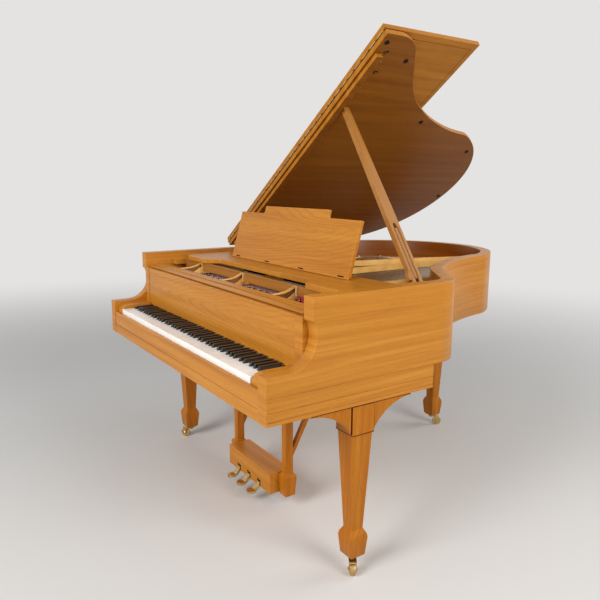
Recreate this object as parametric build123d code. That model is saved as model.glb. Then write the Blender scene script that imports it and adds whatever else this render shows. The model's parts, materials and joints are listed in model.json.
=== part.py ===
"""Grand piano with its lid propped open, on three casters.

Millimetres. X runs to the treble side, Y to the tail, Z up. The origin is on the floor,
under the middle of the case, in line with the front of the arms.
"""

import os
from math import atan2, cos, degrees, hypot, radians, sin, tan

from build123d import *

# Clearances
seat_gap = 0.3
pin_gap = 0.08
slide_gap = 0.3

# Flats on small round pieces
bar_sides = 8
disc_sides = 16
wheel_sides = 40

# Keyboard
white_pitch = 23.5
white_count = 52
key_count = 88
key_side_gap = 1.0
key_shift_room = 4.5
key_front = 15.0
key_head_length = 50.0
key_length = 425.0
key_height = 57.0
key_thick = 25.0
black_rise = 12.0
black_length = 88.0
black_slope = 6.0
key_balance_y = 245.0
balance_ridge = 8.0
balance_rail = 40.0
front_rail_start = 25.0
front_rail_depth = 60.0
back_rail_depth = 50.0
runner_width = 30.0
runner_height = 20.0
key_dip_room = 12.0
key_slip_thick = 10.0
key_slip_over = 4.0
key_block_width = 65.7
key_block_over = 15.0
key_block_round = 34.0

# Rim and base
rim_thick = 50.0
rim_height = 285.0
inner_rim_thick = 42.0
inner_rim_height = 155.0
cheek_lead = 1.5
case_bottom = 615.0
base_depth = 85.0
base_rail_length = 674.0
base_groove = 3.0
base_groove_heights = (11.0, 40.0)
key_bed_thick = 40.0
front_recess = 2.0

# Case outline, walked from the treble arm round the tail to the bass arm
treble_straight = 709.0
corner_radius = 126.0
corner_turn = 54.0
waist_run = 167.0
waist_radius = 536.0
waist_turn = 19.6
bent_radius = 1047.0
bent_turn = 26.5
tail_corner_radius = 120.0
tail_corner_turn = 16.2

# Arms
arm_height = 64.0
rim_front = 162.0
cove_radius = 100.0
cove_centre_y = 79.0
cove_height = 146.0

# Fallboard and stretcher
fall_front = 160.0
fall_thick = 23.0
fall_over_keys = 4.0
fall_height = 176.0
fall_end_gap = 2.5
fall_pin_radius = 4.0
fall_pin_length = 13.0
fall_pin_in = 5.0
fall_pin_up = 21.0
stretcher_gap = 7.0
stretcher_depth = 56.0
stretcher_height = 127.0

# Sounding parts
pin_block_gap = 4.0
pin_block_depth = 162.0
pin_block_thick = 41.0
plate_web = 9.0
plate_height = 29.0
plate_edge = 54.0
plate_rail = 60.0
hitch_bar_back = 276.0
hitch_bar_width = 30.0
belly_front = 476.0
belly_thick = 26.0
board_thick = 9.0
board_edge = 52.0
rib_depth = 17.0
rib_width = 24.0
rib_count = 7
rib_heading = 62.0
beam_width = 76.0
beam_depth = 70.0
beam_heading = 22.0
strut_places = (197.5, 620.5, 1023.5)
strut_leans = (14.0, 0.0, 0.0)
strut_width = 14.0
strut_gap = 7.0
strut_depth = 28.0
strut_toe_y = 262.0
strut_web_length = 86.0
strut_clear = 13.0
tuning_pin = 6.0
tuning_pin_length = 29.0
pin_row_first = 285.0
pin_row_step = 30.0
pin_rows = 3
bass_notes = 20
bass_side_gap = 59.5
bass_step = 6.2
bass_lean = 14.0
bass_rise = 13.0
bass_end_in = 78.0
bass_radius = 1.8
plain_bass_gap = 241.5
plain_treble_gap = 77.5
plain_lean = 7.0
plain_radius = 0.9
bridge_width = 30.0
bass_bridge_back = 150.0
string_overlap = 9.0
damper_y = 545.0
damper_size = (7.0, 30.0, 22.0)
damper_last_note = 70

# Action
hammer_rail_y = 292.0
hammer_rail_size = (20.0, 14.0)
hammer_rail_over = 55.0
hammer_shank = 6.0
hammer_head = 12.0
hammer_string_gap = 15.0
hammer_width = 9.0

# Legs and casters
leg_block = 90.0
leg_block_depth = 102.0
shaft_top = 82.0
shaft_foot = 48.0
spade_top = 66.0
spade_foot = 38.0
spade_height = 67.0
spade_bevel = 17.0
front_leg_y = 366.0
leg_side_inset = 46.0
rear_leg_x = -112.0
rear_leg_back = 259.0
bracket_reach = 162.0
bracket_drop = 95.0
bracket_tip = 7.0
bracket_thick = 46.0
bracket_inset = 2.0
caster_trail = 28.0
caster_turns = (-35.0, -145.0, 60.0)
caster_head = 35.0
wheel_radius = 22.0
wheel_width = 18.0
axle_radius = 4.0
fork_cheek = 4.0
fork_plate = 6.0
fork_plate_gap = 1.5
fork_ear = 10.0
stem_radius = 15.0

# Lyre and pedals
lyre_half = 207.0
lyre_y = 405.0
lyre_post = 34.0
lyre_block = 25.0
lyre_spade = 56.0
lyre_spade_foot = 46.0
lyre_spade_bottom = 58.0
lyre_spade_height = 84.0
lyre_flare = 12.0
pedal_box_front = 338.0
pedal_box_depth = 102.0
pedal_box_bottom = 62.0
pedal_box_height = 88.0
pedal_box_wall = 12.0
pedal_spacing = 86.0
pedal_pivot_in = 25.0
pedal_pivot_up = 13.0
pedal_pin = 4.0
pedal_tail = 10.0
pedal_thick = 9.0
pedal_neck = 22.0
pedal_toe = 40.0
pedal_reach = 56.0
pedal_drop = 18.0
pedal_slot = 30.0
pedal_slot_rise = 18.0
brace_width = 20.0
brace_foot_z = 214.0
brace_foot_height = 36.0
brace_reach = 196.0
brace_top_length = 22.0

# Lid, flap and hinges
lid_open = 34.3
lid_thick = 20.0
lid_lift = 4.0
lid_overhang = 8.0
lid_front = 638.5
lid_axis_out = 6.0
lid_axis_up = 1.0
lid_knuckle = 5.0
lid_leaf = 34.0
lid_leaf_thick = 1.7
lid_hinge_spots = (700.0, 900.0, 1100.0)
lid_hinge_length = 90.0
knuckle_gap = 0.4
flap_depth = 486.5
flap_rod = 2.3
flap_leaf = 1.0
batten_width = 30.0
batten_depth = 17.0
batten_bass_gap = 34.0
batten_treble_gap = 83.0
bumper_radius = 9.0
bumper_inset = 30.0
bumper_places = (25.0, 195.0, 670.0, 1190.0, 1640.0)
cup_radius = 14.0
cup_depth = 3.0
cup_treble_gaps = (70.0, 168.0)
cup_backs = (53.5, 73.5)

# Prop
prop_foot_in = 29.5
prop_foot_y = 668.0
prop_foot_drop = 33.0
prop_head_in = 372.0
prop_head_back = 61.5
prop_head_gap = 1.4
prop_thick = 20.0
prop_width_foot = 46.0
prop_width_head = 28.0
prop_taper_start = 300.0
prop_hub = 9.0
prop_pin = 5.0
prop_fold_heading = 45.0
bracket_plate = 4.0
bracket_plate_edge = 7.0
slot_width = 16.0
slot_start = 20.0
slot_length = 250.0
half_pin = 3.0
half_pin_height = 44.0
half_tail = 6.0
half_length = 212.0
half_thick = 16.0

# Music desk
tray_drop = 15.0
tray_thick = 20.0
tray_side_gap = 31.5
tray_front = 338.0
tray_depth = 262.0
wing_width = 170.0
wing_reach = 24.0
wing_curve = 70.0
desk_rail_width = 42.0
desk_rail_depth = 25.0
desk_rail_front = 38.0
desk_rail_back = 40.0
desk_axis_back = 187.0
desk_axis_up = 3.0
desk_lean = 15.5
desk_half = 450.0
desk_height = 214.0
desk_crown = 33.0
desk_crown_half = 240.0
desk_crown_cove = 12.0
desk_thick = 15.0
desk_pin = 2.5
desk_pin_length = 40.0
desk_pin_spots = (-430.0, -150.0, 130.0, 400.0)
desk_strut_up = 150.0
desk_strut_angle = 45.0
desk_strut_width = 60.0
desk_strut_thick = 8.0

# Sizes that follow from the ones above
keyboard_half = white_pitch * white_count / 2
key_block_face = keyboard_half + key_shift_room
inside = key_block_face + key_block_width + seat_gap
half = inside + rim_thick
inner_face = inside - inner_rim_thick
rim_bottom = case_bottom + base_depth
rim_top = rim_bottom + rim_height
arm_top = rim_bottom + arm_height
inner_rim_top = rim_bottom + inner_rim_height
key_bed_top = case_bottom + key_bed_thick
key_bottom = key_bed_top + key_height
key_head_end = key_front + key_head_length
key_back = key_front + key_length
white_top = key_bottom + key_thick
black_top = white_top + black_rise
fall_bottom = white_top + fall_over_keys
fall_top = fall_bottom + fall_height
fall_axis_y = fall_front + fall_pin_in
fall_axis_z = fall_bottom + fall_pin_up
stretcher_front = fall_front + fall_thick + stretcher_gap
stretcher_back = stretcher_front + stretcher_depth
pin_block_front = stretcher_back + pin_block_gap
pin_block_back = pin_block_front + pin_block_depth
board_top = inner_rim_top + board_thick
plate_level = board_top + plate_height
string_level = plate_level + seat_gap
strut_under = plate_level + strut_gap
strut_top = strut_under + strut_depth
strut_lines = [(place - inside, lean) for place, lean in zip(strut_places, strut_leans)]
bass_level = plate_level + bass_rise
bass_first_x = bass_side_gap - inside
bass_shift = tan(radians(bass_lean))
foot_z = 2 * wheel_radius + caster_head
pedal_pivot_y = pedal_box_front + pedal_box_depth - pedal_pivot_in
pedal_pivot_z = pedal_box_bottom + pedal_pivot_up
tray_level = rim_top - tray_drop
tray_half = inside - tray_side_gap
desk_axis_y = tray_front + desk_axis_back
desk_axis_z = tray_level + desk_axis_up
lid_axis_x = -half - lid_axis_out
lid_under = rim_top + lid_lift
lid_top = lid_under + lid_thick
lid_axis_z = lid_under + lid_axis_up
lid_axis = Axis((lid_axis_x, 0, lid_axis_z), (0, -1, 0))
flap_axis_y = lid_front - flap_leaf
flap_axis_z = lid_top + flap_rod + seat_gap
flap_axis = Axis((0, flap_axis_y, flap_axis_z), (1, 0, 0))
prop_foot = (inside - prop_foot_in, prop_foot_y, rim_top - prop_foot_drop)


def block(x, y, z):
    """Box between the low and high limits on each axis."""
    size = [high - low for low, high in (x, y, z)]
    middle = [(low + high) / 2 for low, high in (x, y, z)]
    return Pos(*middle) * Box(*size)


def case_walk(inset, front):
    """Edges of the case in plan, drawn in by inset, from the treble arm round to the front line."""
    start = Vector(half - inset, front)
    edges = []
    spot = start
    heading = 0.0

    def ahead(length):
        nonlocal spot
        end = spot + Vector(-sin(radians(heading)), cos(radians(heading))) * length
        edges.append(Line(spot, end))
        spot = end

    def turn(radius, angle):
        nonlocal spot, heading
        arm = radius if angle > 0 else -radius

        def out(at):
            return Vector(cos(radians(at)), sin(radians(at))) * arm

        centre = spot - out(heading)
        end = centre + out(heading + angle)
        edges.append(ThreePointArc(spot, centre + out(heading + angle / 2), end))
        spot = end
        heading += angle

    ahead(treble_straight - front)
    turn(corner_radius - inset, corner_turn)
    ahead(waist_run)
    turn(waist_radius + inset, -waist_turn)
    turn(bent_radius + inset, -bent_turn)
    turn(tail_corner_radius - inset, tail_corner_turn)
    tail_radius = (spot.X + half - inset) / (1 + cos(radians(heading)))
    turn(tail_radius, 180 - heading)
    ahead(spot.Y - front)
    edges.append(Line(spot, start))
    return edges


def case_outline(inset, front):
    """Plan of the case, drawn in by inset on every side and closed by a line at y = front."""
    return Face(Wire(case_walk(inset, front)))


tail_y = case_outline(0, 0).bounding_box().max.Y
hitch_bar_y = tail_y - hitch_bar_back
bass_end = tail_y - bass_end_in
rear_leg_spot = (rear_leg_x, tail_y - rear_leg_back)


def raised(face, low, high):
    """A plan face stood up between two heights."""
    return Pos(0, 0, low) * extrude(face, high - low, dir=(0, 0, 1))


def band(outer, inner, front, low, high):
    """Wall that follows the case between two insets, open at the front."""
    return raised(case_outline(outer, front), low, high) - raised(
        case_outline(inner, front - rim_thick), low, high
    )


def side_shape(outline, low_x, high_x):
    """Shape drawn as (y, z) points, with an arc where an item holds three points, across X."""
    edges = []
    for item in outline:
        points = [Vector(low_x, y, z) for y, z in item]
        edges.append(Line(*points) if len(points) == 2 else ThreePointArc(*points))
    return extrude(Face(Wire(edges)), high_x - low_x, dir=(1, 0, 0))


def closed(points):
    """Straight sides through the points and back to the first, leaving out repeated points."""
    kept = [p for i, p in enumerate(points) if p != points[i - 1]]
    return [(kept[i - 1], kept[i]) for i in range(len(kept))]


def side_polygon(points, low_x, high_x):
    return side_shape(closed(points), low_x, high_x)


def plan_polygon(points, low, high):
    edges = [Line(Vector(*a), Vector(*b)) for a, b in closed(points)]
    return raised(Face(Wire(edges)), low, high)


def rod(start, direction, length, radius):
    """Round bar from a point along a direction."""
    return Plane(origin=start, z_dir=direction) * Cylinder(
        radius, length, align=(Align.CENTER, Align.CENTER, Align.MIN)
    )


def prism(start, direction, length, radius, sides=bar_sides, bore=False):
    """Many-sided bar with its corners on the radius, or a bore with its flats on the radius."""
    return Plane(origin=start, z_dir=direction) * extrude(
        RegularPolygon(radius, sides, major_radius=not bore), length
    )


def square_taper(spot, sections):
    """Square post with flat sides, down through (height, side) sections."""
    right = [(side / 2, z) for z, side in sections]
    left = [(-side / 2, z) for z, side in reversed(sections)]
    widest = max(side for _, side in sections)
    slab = side_polygon(right + left, -widest, widest)
    return Pos(*spot, 0) * (slab & Rot(0, 0, 90) * slab)


def bar(start, heading, length, width, low, high):
    """Straight bar in plan, from a point on its middle line, heading measured from +Y to -X."""
    body = Box(width, length, high - low, align=(Align.CENTER, Align.MIN, Align.MIN))
    return Pos(*start, low) * Rot(0, 0, heading) * body


def both_sides(piece):
    return [piece, mirror(piece, Plane.YZ)]


def make_rim():
    rim = band(0, rim_thick, 0, rim_bottom, rim_top)
    cove_end_z = arm_top + cove_height
    centre_z = arm_top + cove_radius
    rise = cove_end_z - centre_z
    end = (cove_centre_y + (cove_radius**2 - rise**2) ** 0.5, cove_end_z)
    turn = (degrees(atan2(rise, end[0] - cove_centre_y)) - 90) / 2
    middle = (
        cove_centre_y + cove_radius * cos(radians(turn)),
        centre_z + cove_radius * sin(radians(turn)),
    )
    foot = (cove_centre_y, arm_top)
    over = rim_top + rim_thick
    ahead = -rim_thick
    cutter = [
        ((ahead, arm_top), foot),
        (foot, middle, end),
        (end, (rim_front, cove_end_z)),
        ((rim_front, cove_end_z), (rim_front, over)),
        ((rim_front, over), (ahead, over)),
        ((ahead, over), (ahead, arm_top)),
    ]
    return rim - side_shape(cutter, -2 * half, 2 * half)


def make_inner_rim():
    front = fall_front - cheek_lead
    wall = band(rim_thick + seat_gap, rim_thick + inner_rim_thick, front, rim_bottom, inner_rim_top)
    cheek = block(
        (inner_face, inside - seat_gap), (front, stretcher_back), (inner_rim_top, fall_top)
    )
    rim = wall + both_sides(cheek)
    bore = fall_pin_radius + pin_gap
    deep = fall_pin_length + fall_end_gap
    for side in (-1, 1):
        mouth = (side * inner_face, fall_axis_y, fall_axis_z)
        rim -= prism(mouth, (side, 0, 0), deep, bore, bore=True)
    return rim


def make_base_rails():
    rail = block((inside, half), (0, base_rail_length), (case_bottom, rim_bottom))
    for height in base_groove_heights:
        low = case_bottom + height
        rail -= block((half - base_groove, half), (0, base_rail_length), (low, low + base_groove))
    return both_sides(rail)


def make_key_bed():
    return block((-inside, inside), (front_recess, base_rail_length), (case_bottom, key_bed_top))


def make_key_slip():
    back = key_front - front_recess
    front = back - key_slip_thick
    return block((-inside, inside), (front, back), (key_bed_top, key_bottom + key_slip_over))


def make_key_blocks():
    front = key_front
    back = fall_front - fall_end_gap
    top = white_top + key_block_over
    bend = top - key_block_round
    slant = key_block_round * (1 - cos(radians(45)))
    outline = [
        ((front, key_bed_top), (front, bend)),
        ((front, bend), (front + slant, top - slant), (front + key_block_round, top)),
        ((front + key_block_round, top), (back, top)),
        ((back, top), (back, key_bed_top)),
        ((back, key_bed_top), (front, key_bed_top)),
    ]
    return both_sides(side_shape(outline, key_block_face, inside - seat_gap))


def make_stretcher():
    edge = inner_face - seat_gap
    low = fall_top - stretcher_height
    return block((-edge, edge), (stretcher_front, stretcher_back), (low, fall_top))


def make_back_braces():
    edge = inner_face - seat_gap
    back = belly_front + belly_thick
    belly = block((-edge, edge), (belly_front, back), (rim_bottom, inner_rim_top))
    inset = rim_thick + inner_rim_thick + seat_gap
    room = raised(case_outline(inset, back), rim_bottom, inner_rim_top)
    beams = []
    beam_lines = ((rear_leg_spot[0], 0), (inner_face / 3, beam_heading), (-inner_face * 2 / 3, 0))
    for x, heading in beam_lines:
        beam = bar((x, back), heading, tail_y, beam_width, rim_bottom, rim_bottom + beam_depth)
        beams.append(beam & room)
    beams[1] -= beams[0]
    return [belly] + beams


def make_soundboard():
    low = inner_rim_top
    board = raised(case_outline(board_edge, belly_front), low, board_top)
    inset = rim_thick + inner_rim_thick + seat_gap
    belly_back = belly_front + belly_thick
    room = raised(case_outline(inset, belly_back), low - rib_depth, low)
    step = (treble_straight + waist_run) / rib_count
    ribs = []
    for i in range(rib_count):
        start = (inner_face, belly_back + step * (i + 0.5))
        rib = bar(start, rib_heading, 3 * half, rib_width, low - rib_depth, low)
        ribs.append(rib & room)
    return [board] + ribs


def string_room():
    inset = plate_edge + plate_rail - string_overlap
    return raised(case_outline(inset, pin_block_front), plate_level, strut_top)


def string(x, start_y, lean, level, radius, length, room):
    """Straight wire that heads lean degrees from +Y to -X, ended where the plate's rail begins."""
    heading = Vector(-sin(radians(lean)), cos(radians(lean)), 0)
    across = Vector(cos(radians(lean)), sin(radians(lean)), 0)
    plane = Plane(origin=(x, start_y, level + radius), x_dir=across, z_dir=heading)
    wire = extrude(plane * RegularPolygon(radius, 3), length)
    return wire & room


def pin_row_y(index):
    return pin_row_first + pin_row_step * (index % pin_rows)


def bass_layout():
    """Tuning pin of each bass string, on the string's own line."""
    found = []
    for i in range(bass_notes):
        y = pin_row_y(i)
        found.append((bass_first_x + bass_step * i + (y - pin_row_first) * bass_shift, y))
    return found


def plain_layout():
    """Note number, x and y of the pin, and lean of each plain string."""
    notes = key_count - bass_notes
    first = plain_bass_gap - inside
    last = inside - plain_treble_gap
    found = []
    for i in range(notes):
        share = i / (notes - 1)
        x = first + (last - first) * share
        if all(abs(x - line) > strut_clear for line, _ in strut_lines):
            lean = plain_lean * (1 - share)
            y = pin_row_y(i)
            found.append((bass_notes + i, x - (y - pin_row_first) * tan(radians(lean)), y, lean))
    return found


def make_plain_strings(room):
    room -= block((-half, half), (hitch_bar_y, 2 * bass_end), (plate_level, strut_top))
    return [
        string(x, y + tuning_pin, lean, string_level, plain_radius, bass_end, room)
        for _, x, y, lean in plain_layout()
    ]


def make_bass_strings(room):
    length = (bass_end - pin_block_back) / cos(radians(bass_lean))
    return [
        string(x, y + tuning_pin, -bass_lean, bass_level, bass_radius, length, room)
        for x, y in bass_layout()
    ]


def make_tuning_pins():
    spots = bass_layout() + [(x, y) for _, x, y, _ in plain_layout()]
    return [
        prism((x, y, plate_level), (0, 0, 1), tuning_pin_length, tuning_pin / 2, sides=3) for x, y in spots
    ]


def make_pin_block():
    edge = inner_face - seat_gap
    top = plate_level - plate_web
    return block((-edge, edge), (pin_block_front, pin_block_back), (top - pin_block_thick, top))


def make_plate():
    under = plate_level - plate_web
    opening_front = pin_block_back + seat_gap
    web = raised(case_outline(plate_edge, pin_block_front), under, plate_level)
    web -= raised(case_outline(plate_edge + plate_rail, opening_front), under, plate_level)
    rail = band(plate_edge, plate_edge + plate_rail, belly_front, board_top, under)
    plate = web + rail
    room = raised(case_outline(plate_edge, strut_toe_y), plate_level, strut_top)
    for x, lean in strut_lines:
        plate += make_strut(x, lean) & room
    bass_low = bass_first_x - bass_step
    bass_high = bass_first_x + bass_step * bass_notes
    sill_y = pin_block_back - bridge_width / 2
    shift = (sill_y - pin_row_first) * bass_shift
    sill_top = bass_level - seat_gap
    sill = block(
        (bass_low + shift, bass_high + shift), (sill_y, pin_block_back), (plate_level, sill_top)
    )
    hitch = raised(case_outline(plate_edge, belly_front), under, plate_level) & block(
        (-half, half), (hitch_bar_y - hitch_bar_width, hitch_bar_y), (under, plate_level)
    )
    run = (bass_end - pin_row_first) * bass_shift
    pad = block(
        (bass_low + run, bass_high + run), (bass_end - bridge_width / 2, bass_end), (plate_level, sill_top)
    )
    return plate + [sill, pad, hitch]


def make_strut(x, lean):
    """Plate strut: a web that rises in a curve from the pin field, then a bar above the strings."""
    rise = strut_top - plate_level
    strut_web_y = strut_toe_y + strut_web_length
    mid_y = strut_toe_y + strut_web_length * 0.62
    mid_z = plate_level + rise * 0.4
    far = 2 * tail_y
    outline = [
        ((strut_toe_y, plate_level), (mid_y, mid_z), (strut_web_y, strut_top)),
        ((strut_web_y, strut_top), (far, strut_top)),
        ((far, strut_top), (far, strut_under)),
        ((far, strut_under), (strut_web_y, strut_under)),
        ((strut_web_y, strut_under), (strut_web_y, plate_level)),
        ((strut_web_y, plate_level), (strut_toe_y, plate_level)),
    ]
    body = side_shape(outline, -strut_width / 2, strut_width / 2)
    foot_y = strut_foot_y(x, lean)
    foot = block((-strut_width / 2, strut_width / 2), (foot_y, far), (plate_level, strut_under))
    turn = Pos(x, strut_toe_y, 0) * Rot(0, 0, -lean) * Pos(0, -strut_toe_y, 0)
    return turn * (body + foot)


def strut_foot_y(x, lean):
    """Distance along a strut at which it stands on the plate's rail."""
    start = Vector(x, strut_toe_y + pin_block_back)
    ray = Edge.make_line(start, start + Vector(tan(radians(lean)), 1) * tail_y)
    inner = case_outline(plate_edge + plate_rail / 2, pin_block_front)
    cut = (ray & inner).edges()[0]
    end = max((cut @ 0, cut @ 1), key=lambda p: p.Y)
    return strut_toe_y + (end.Y - strut_toe_y) / cos(radians(lean))


def make_bridges():
    """Long bridge under the plain strings, and a taller one under the bass strings."""
    low = board_top
    inset = plate_edge + plate_rail + bridge_width
    outer = case_walk(inset, belly_front)[2:5]
    inner = case_walk(inset + bridge_width, belly_front)[2:5]
    ends = [Line(outer[0] @ 0, inner[0] @ 0), Line(outer[-1] @ 1, inner[-1] @ 1)]
    long_bridge = raised(Face(Wire(outer + inner + ends)), low, plate_level)
    bass_mid = bass_first_x + bass_step * bass_notes / 2
    cross_y = bass_end - bass_bridge_back
    cross_x = bass_mid + (cross_y - pin_row_first) * bass_shift
    span = bass_step * (bass_notes + 1)
    bass = Pos(cross_x, cross_y, low) * Box(
        span, bridge_width, bass_level - seat_gap - low, align=(Align.CENTER, Align.CENTER, Align.MIN)
    )
    return [long_bridge, bass]


def make_dampers():
    wide, deep, tall = damper_size
    dampers = []
    run = damper_y + deep - pin_row_first
    bass_side = bass_first_x + bass_step * bass_notes + run * bass_shift
    low = string_level + 2 * plain_radius + seat_gap
    for note, x, y, lean in plain_layout():
        if note <= damper_last_note:
            at = x - (damper_y + deep / 2 - y) * tan(radians(lean))
            ahead = damper_y - strut_toe_y
            gaps = [at - line - ahead * tan(radians(turn)) for line, turn in strut_lines]
            if min(abs(gap) for gap in gaps) > 1.5 * strut_clear and at > bass_side:
                across = (at - wide / 2, at + wide / 2)
                dampers.append(block(across, (damper_y, damper_y + deep), (low, low + tall)))
    return dampers


def note_name(key):
    names = ("c", "c_sharp", "d", "d_sharp", "e", "f", "f_sharp", "g", "g_sharp", "a", "a_sharp", "b")
    return names[(key + 9) % 12]


def key_places(key):
    """Head and tail limits of a key along X. A sharp has no head."""
    note = (key + 9) % 12
    octave = (key + 9) // 12
    left = (7 * octave - 5) * white_pitch - keyboard_half
    naturals = (0, 2, 4, 5, 7, 9, 11)

    def tail_edge(step):
        if step <= 5:
            return step * 3 * white_pitch / 5
        return 3 * white_pitch + (step - 5) * 4 * white_pitch / 7

    margin = key_side_gap / 2
    tail = (left + tail_edge(note) + margin, left + tail_edge(note + 1) - margin)
    if note not in naturals:
        return None, tail
    start = left + naturals.index(note) * white_pitch
    return (start + margin, start + white_pitch - margin), tail


def make_key(key):
    """A natural in one piece, or a sharp's stick with its cap on top."""
    head, tail = key_places(key)
    if head is None:
        front = key_head_end + key_side_gap
        stick = block(tail, (front, key_back), (key_bottom, white_top - key_side_gap))
        low = white_top - key_side_gap
        end = front + black_length
        cap = [(front, low), (front + black_slope, black_top), (end, black_top), (end, low)]
        return [stick, side_polygon(cap, tail[0] + key_side_gap, tail[1] - key_side_gap)]
    points = [
        (head[0], key_front),
        (head[1], key_front),
        (head[1], key_head_end),
        (tail[1], key_head_end),
        (tail[1], key_back),
        (tail[0], key_back),
        (tail[0], key_head_end),
        (head[0], key_head_end),
    ]
    rounded = [(round(x, 6), y) for x, y in points]
    return [plan_polygon(rounded, key_bottom, white_top)]


def make_key_frame():
    """Front, balance and back rails on two runners, with a narrow ridge that the keys rock on."""
    edge = keyboard_half
    low = key_bed_top + slide_gap
    rest = key_bottom - seat_gap
    front_top = key_bottom - key_dip_room
    rail = (-edge, edge)
    front_start = key_front + front_rail_start
    front_end = front_start + front_rail_depth
    front = block(rail, (front_start, front_end), (low, front_top))
    ridge = key_balance_y - balance_ridge / 2
    base_start = key_balance_y - balance_rail / 2
    base = block(rail, (base_start, base_start + balance_rail), (low, front_top))
    balance = base + block(rail, (ridge, ridge + balance_ridge), (front_top, rest))
    back_start = key_back - back_rail_depth
    back = block(rail, (back_start, key_back), (low, rest))
    runner = block((edge - runner_width, edge), (front_end, back_start), (low, low + runner_height))
    return front + [balance, back] + both_sides(runner)


def make_hammer_rail():
    edge = inner_face - seat_gap
    deep, tall = hammer_rail_size
    low = white_top + hammer_rail_over
    return block((-edge, edge), (hammer_rail_y, hammer_rail_y + deep), (low, low + tall))


def make_hammers():
    start = hammer_rail_y + hammer_rail_size[0]
    low = white_top + hammer_rail_over
    top = plate_level - hammer_string_gap
    neck = key_back - hammer_head
    outline = [
        (start, low),
        (key_back, low),
        (key_back, top),
        (neck + hammer_head / 3, top),
        (neck, low + hammer_shank),
    ]
    hammers = []
    for key in range(key_count):
        _, tail = key_places(key)
        middle = (tail[0] + tail[1]) / 2
        hammers.append(side_polygon(outline, middle - hammer_width / 2, middle + hammer_width / 2))
    return hammers


def make_fallboard():
    edge = inner_face - fall_end_gap
    board = block((-edge, edge), (fall_front, fall_front + fall_thick), (fall_bottom, fall_top))
    board = fillet(board.edges().filter_by(Axis.X).group_by(Axis.Z)[-1], fall_thick / 6)
    for side in (-1, 1):
        root = (side * edge, fall_axis_y, fall_axis_z)
        board += rod(root, (side, 0, 0), fall_pin_length, fall_pin_radius)
    return board


def make_leg(spot, top, side=None):
    """Square tapered leg on a spade foot. Side legs have a curved bracket before and behind."""
    spade_top_z = foot_z + spade_height
    shaft = square_taper(
        spot,
        [
            (top - leg_block_depth, shaft_top),
            (spade_top_z + spade_bevel, shaft_foot),
            (spade_top_z, spade_top),
            (foot_z, spade_foot),
        ],
    )
    cap = Pos(*spot, top - leg_block_depth / 2) * Box(leg_block, leg_block, leg_block_depth)
    leg = cap + shaft
    if side is None:
        return [leg]
    outer = spot[0] + side * (leg_block / 2 - bracket_inset)
    inner = outer - side * bracket_thick
    pieces = [leg]
    for way in (-1, 1):
        face = spot[1] + way * leg_block / 2
        tip = face + way * bracket_reach
        drop = bracket_drop - bracket_tip
        sweep = (bracket_reach**2 + drop**2) / (2 * drop)
        part_turn = atan2(bracket_reach, sweep - drop) / 2
        tip_z = top - bracket_tip
        middle = (tip - way * sweep * sin(part_turn), tip_z - sweep * (1 - cos(part_turn)))
        outline = [
            ((tip, tip_z), middle, (face, top - bracket_drop)),
            ((face, top - bracket_drop), (face, top)),
            ((face, top), (tip, top)),
            ((tip, top), (tip, tip_z)),
        ]
        pieces.append(side_shape(outline, min(inner, outer), max(inner, outer)))
    return pieces


def make_fork(spot, turn):
    """Caster stem, plate and two cheeks that hold the axle."""
    top = foot_z - seat_gap
    plate_low = 2 * wheel_radius + seat_gap + fork_plate_gap
    stem = prism((0, 0, plate_low), (0, 0, 1), top - plate_low, stem_radius)
    inner = wheel_width / 2 + seat_gap
    outer = inner + fork_cheek
    near = caster_trail - fork_ear
    far = caster_trail + fork_ear
    plate = block((-stem_radius, far), (-outer, outer), (plate_low, plate_low + fork_plate))
    cheek = block((near, far), (inner, outer), (wheel_radius - fork_ear, plate_low))
    end = (caster_trail, -outer, wheel_radius)
    hole = prism(end, (0, 1, 0), 2 * outer, axle_radius + pin_gap, bore=True)
    body = stem + plate + cheek + mirror(cheek, Plane.XZ) - hole
    return Pos(*spot, 0) * Rot(0, 0, turn) * body


def make_wheel(spot, turn):
    """Caster wheel on its axle."""
    edge = wheel_width / 2
    outer = edge + seat_gap + fork_cheek
    hub = (caster_trail, -edge, wheel_radius)
    tread = prism(hub, (0, 1, 0), wheel_width, wheel_radius, sides=wheel_sides)
    axle = prism((caster_trail, -outer, wheel_radius), (0, 1, 0), 2 * outer, axle_radius)
    return Pos(*spot, 0) * Rot(0, 0, turn) * (tread + axle)


def make_lyre_frame():
    top = case_bottom
    low = top - lyre_block
    spade = lyre_spade_bottom + lyre_spade_height
    post = square_taper(
        (lyre_half, lyre_y),
        [
            (low, lyre_post),
            (spade + lyre_flare, lyre_post),
            (spade, lyre_spade),
            (lyre_spade_bottom, lyre_spade_foot),
        ],
    )
    edge = lyre_half + lyre_spade / 2
    deep = lyre_spade / 2
    cap = block((-edge, edge), (lyre_y - deep, lyre_y + deep), (low, top))
    return [cap] + both_sides(post)


def make_pedal_box():
    """Box between the posts, open below, with a slot for each pedal and the pin that they turn on."""
    edge = lyre_half - lyre_spade / 2 - seat_gap
    wall = pedal_box_wall
    back = pedal_box_front + pedal_box_depth
    top = pedal_box_bottom + pedal_box_height
    box = block((-edge, edge), (pedal_box_front, back), (pedal_box_bottom, top))
    box -= block(
        (wall - edge, edge - wall),
        (pedal_box_front + wall, back - wall),
        (pedal_box_bottom, top - wall),
    )
    slot_top = pedal_pivot_z + pedal_slot_rise
    for i in (-1, 0, 1):
        x = i * pedal_spacing
        box -= block(
            (x - pedal_slot / 2, x + pedal_slot / 2),
            (pedal_box_front, pedal_box_front + wall),
            (pedal_box_bottom, slot_top),
        )
    reach = edge - wall
    return box + rod((-reach, pedal_pivot_y, pedal_pivot_z), (1, 0, 0), 2 * reach, pedal_pin)


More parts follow.
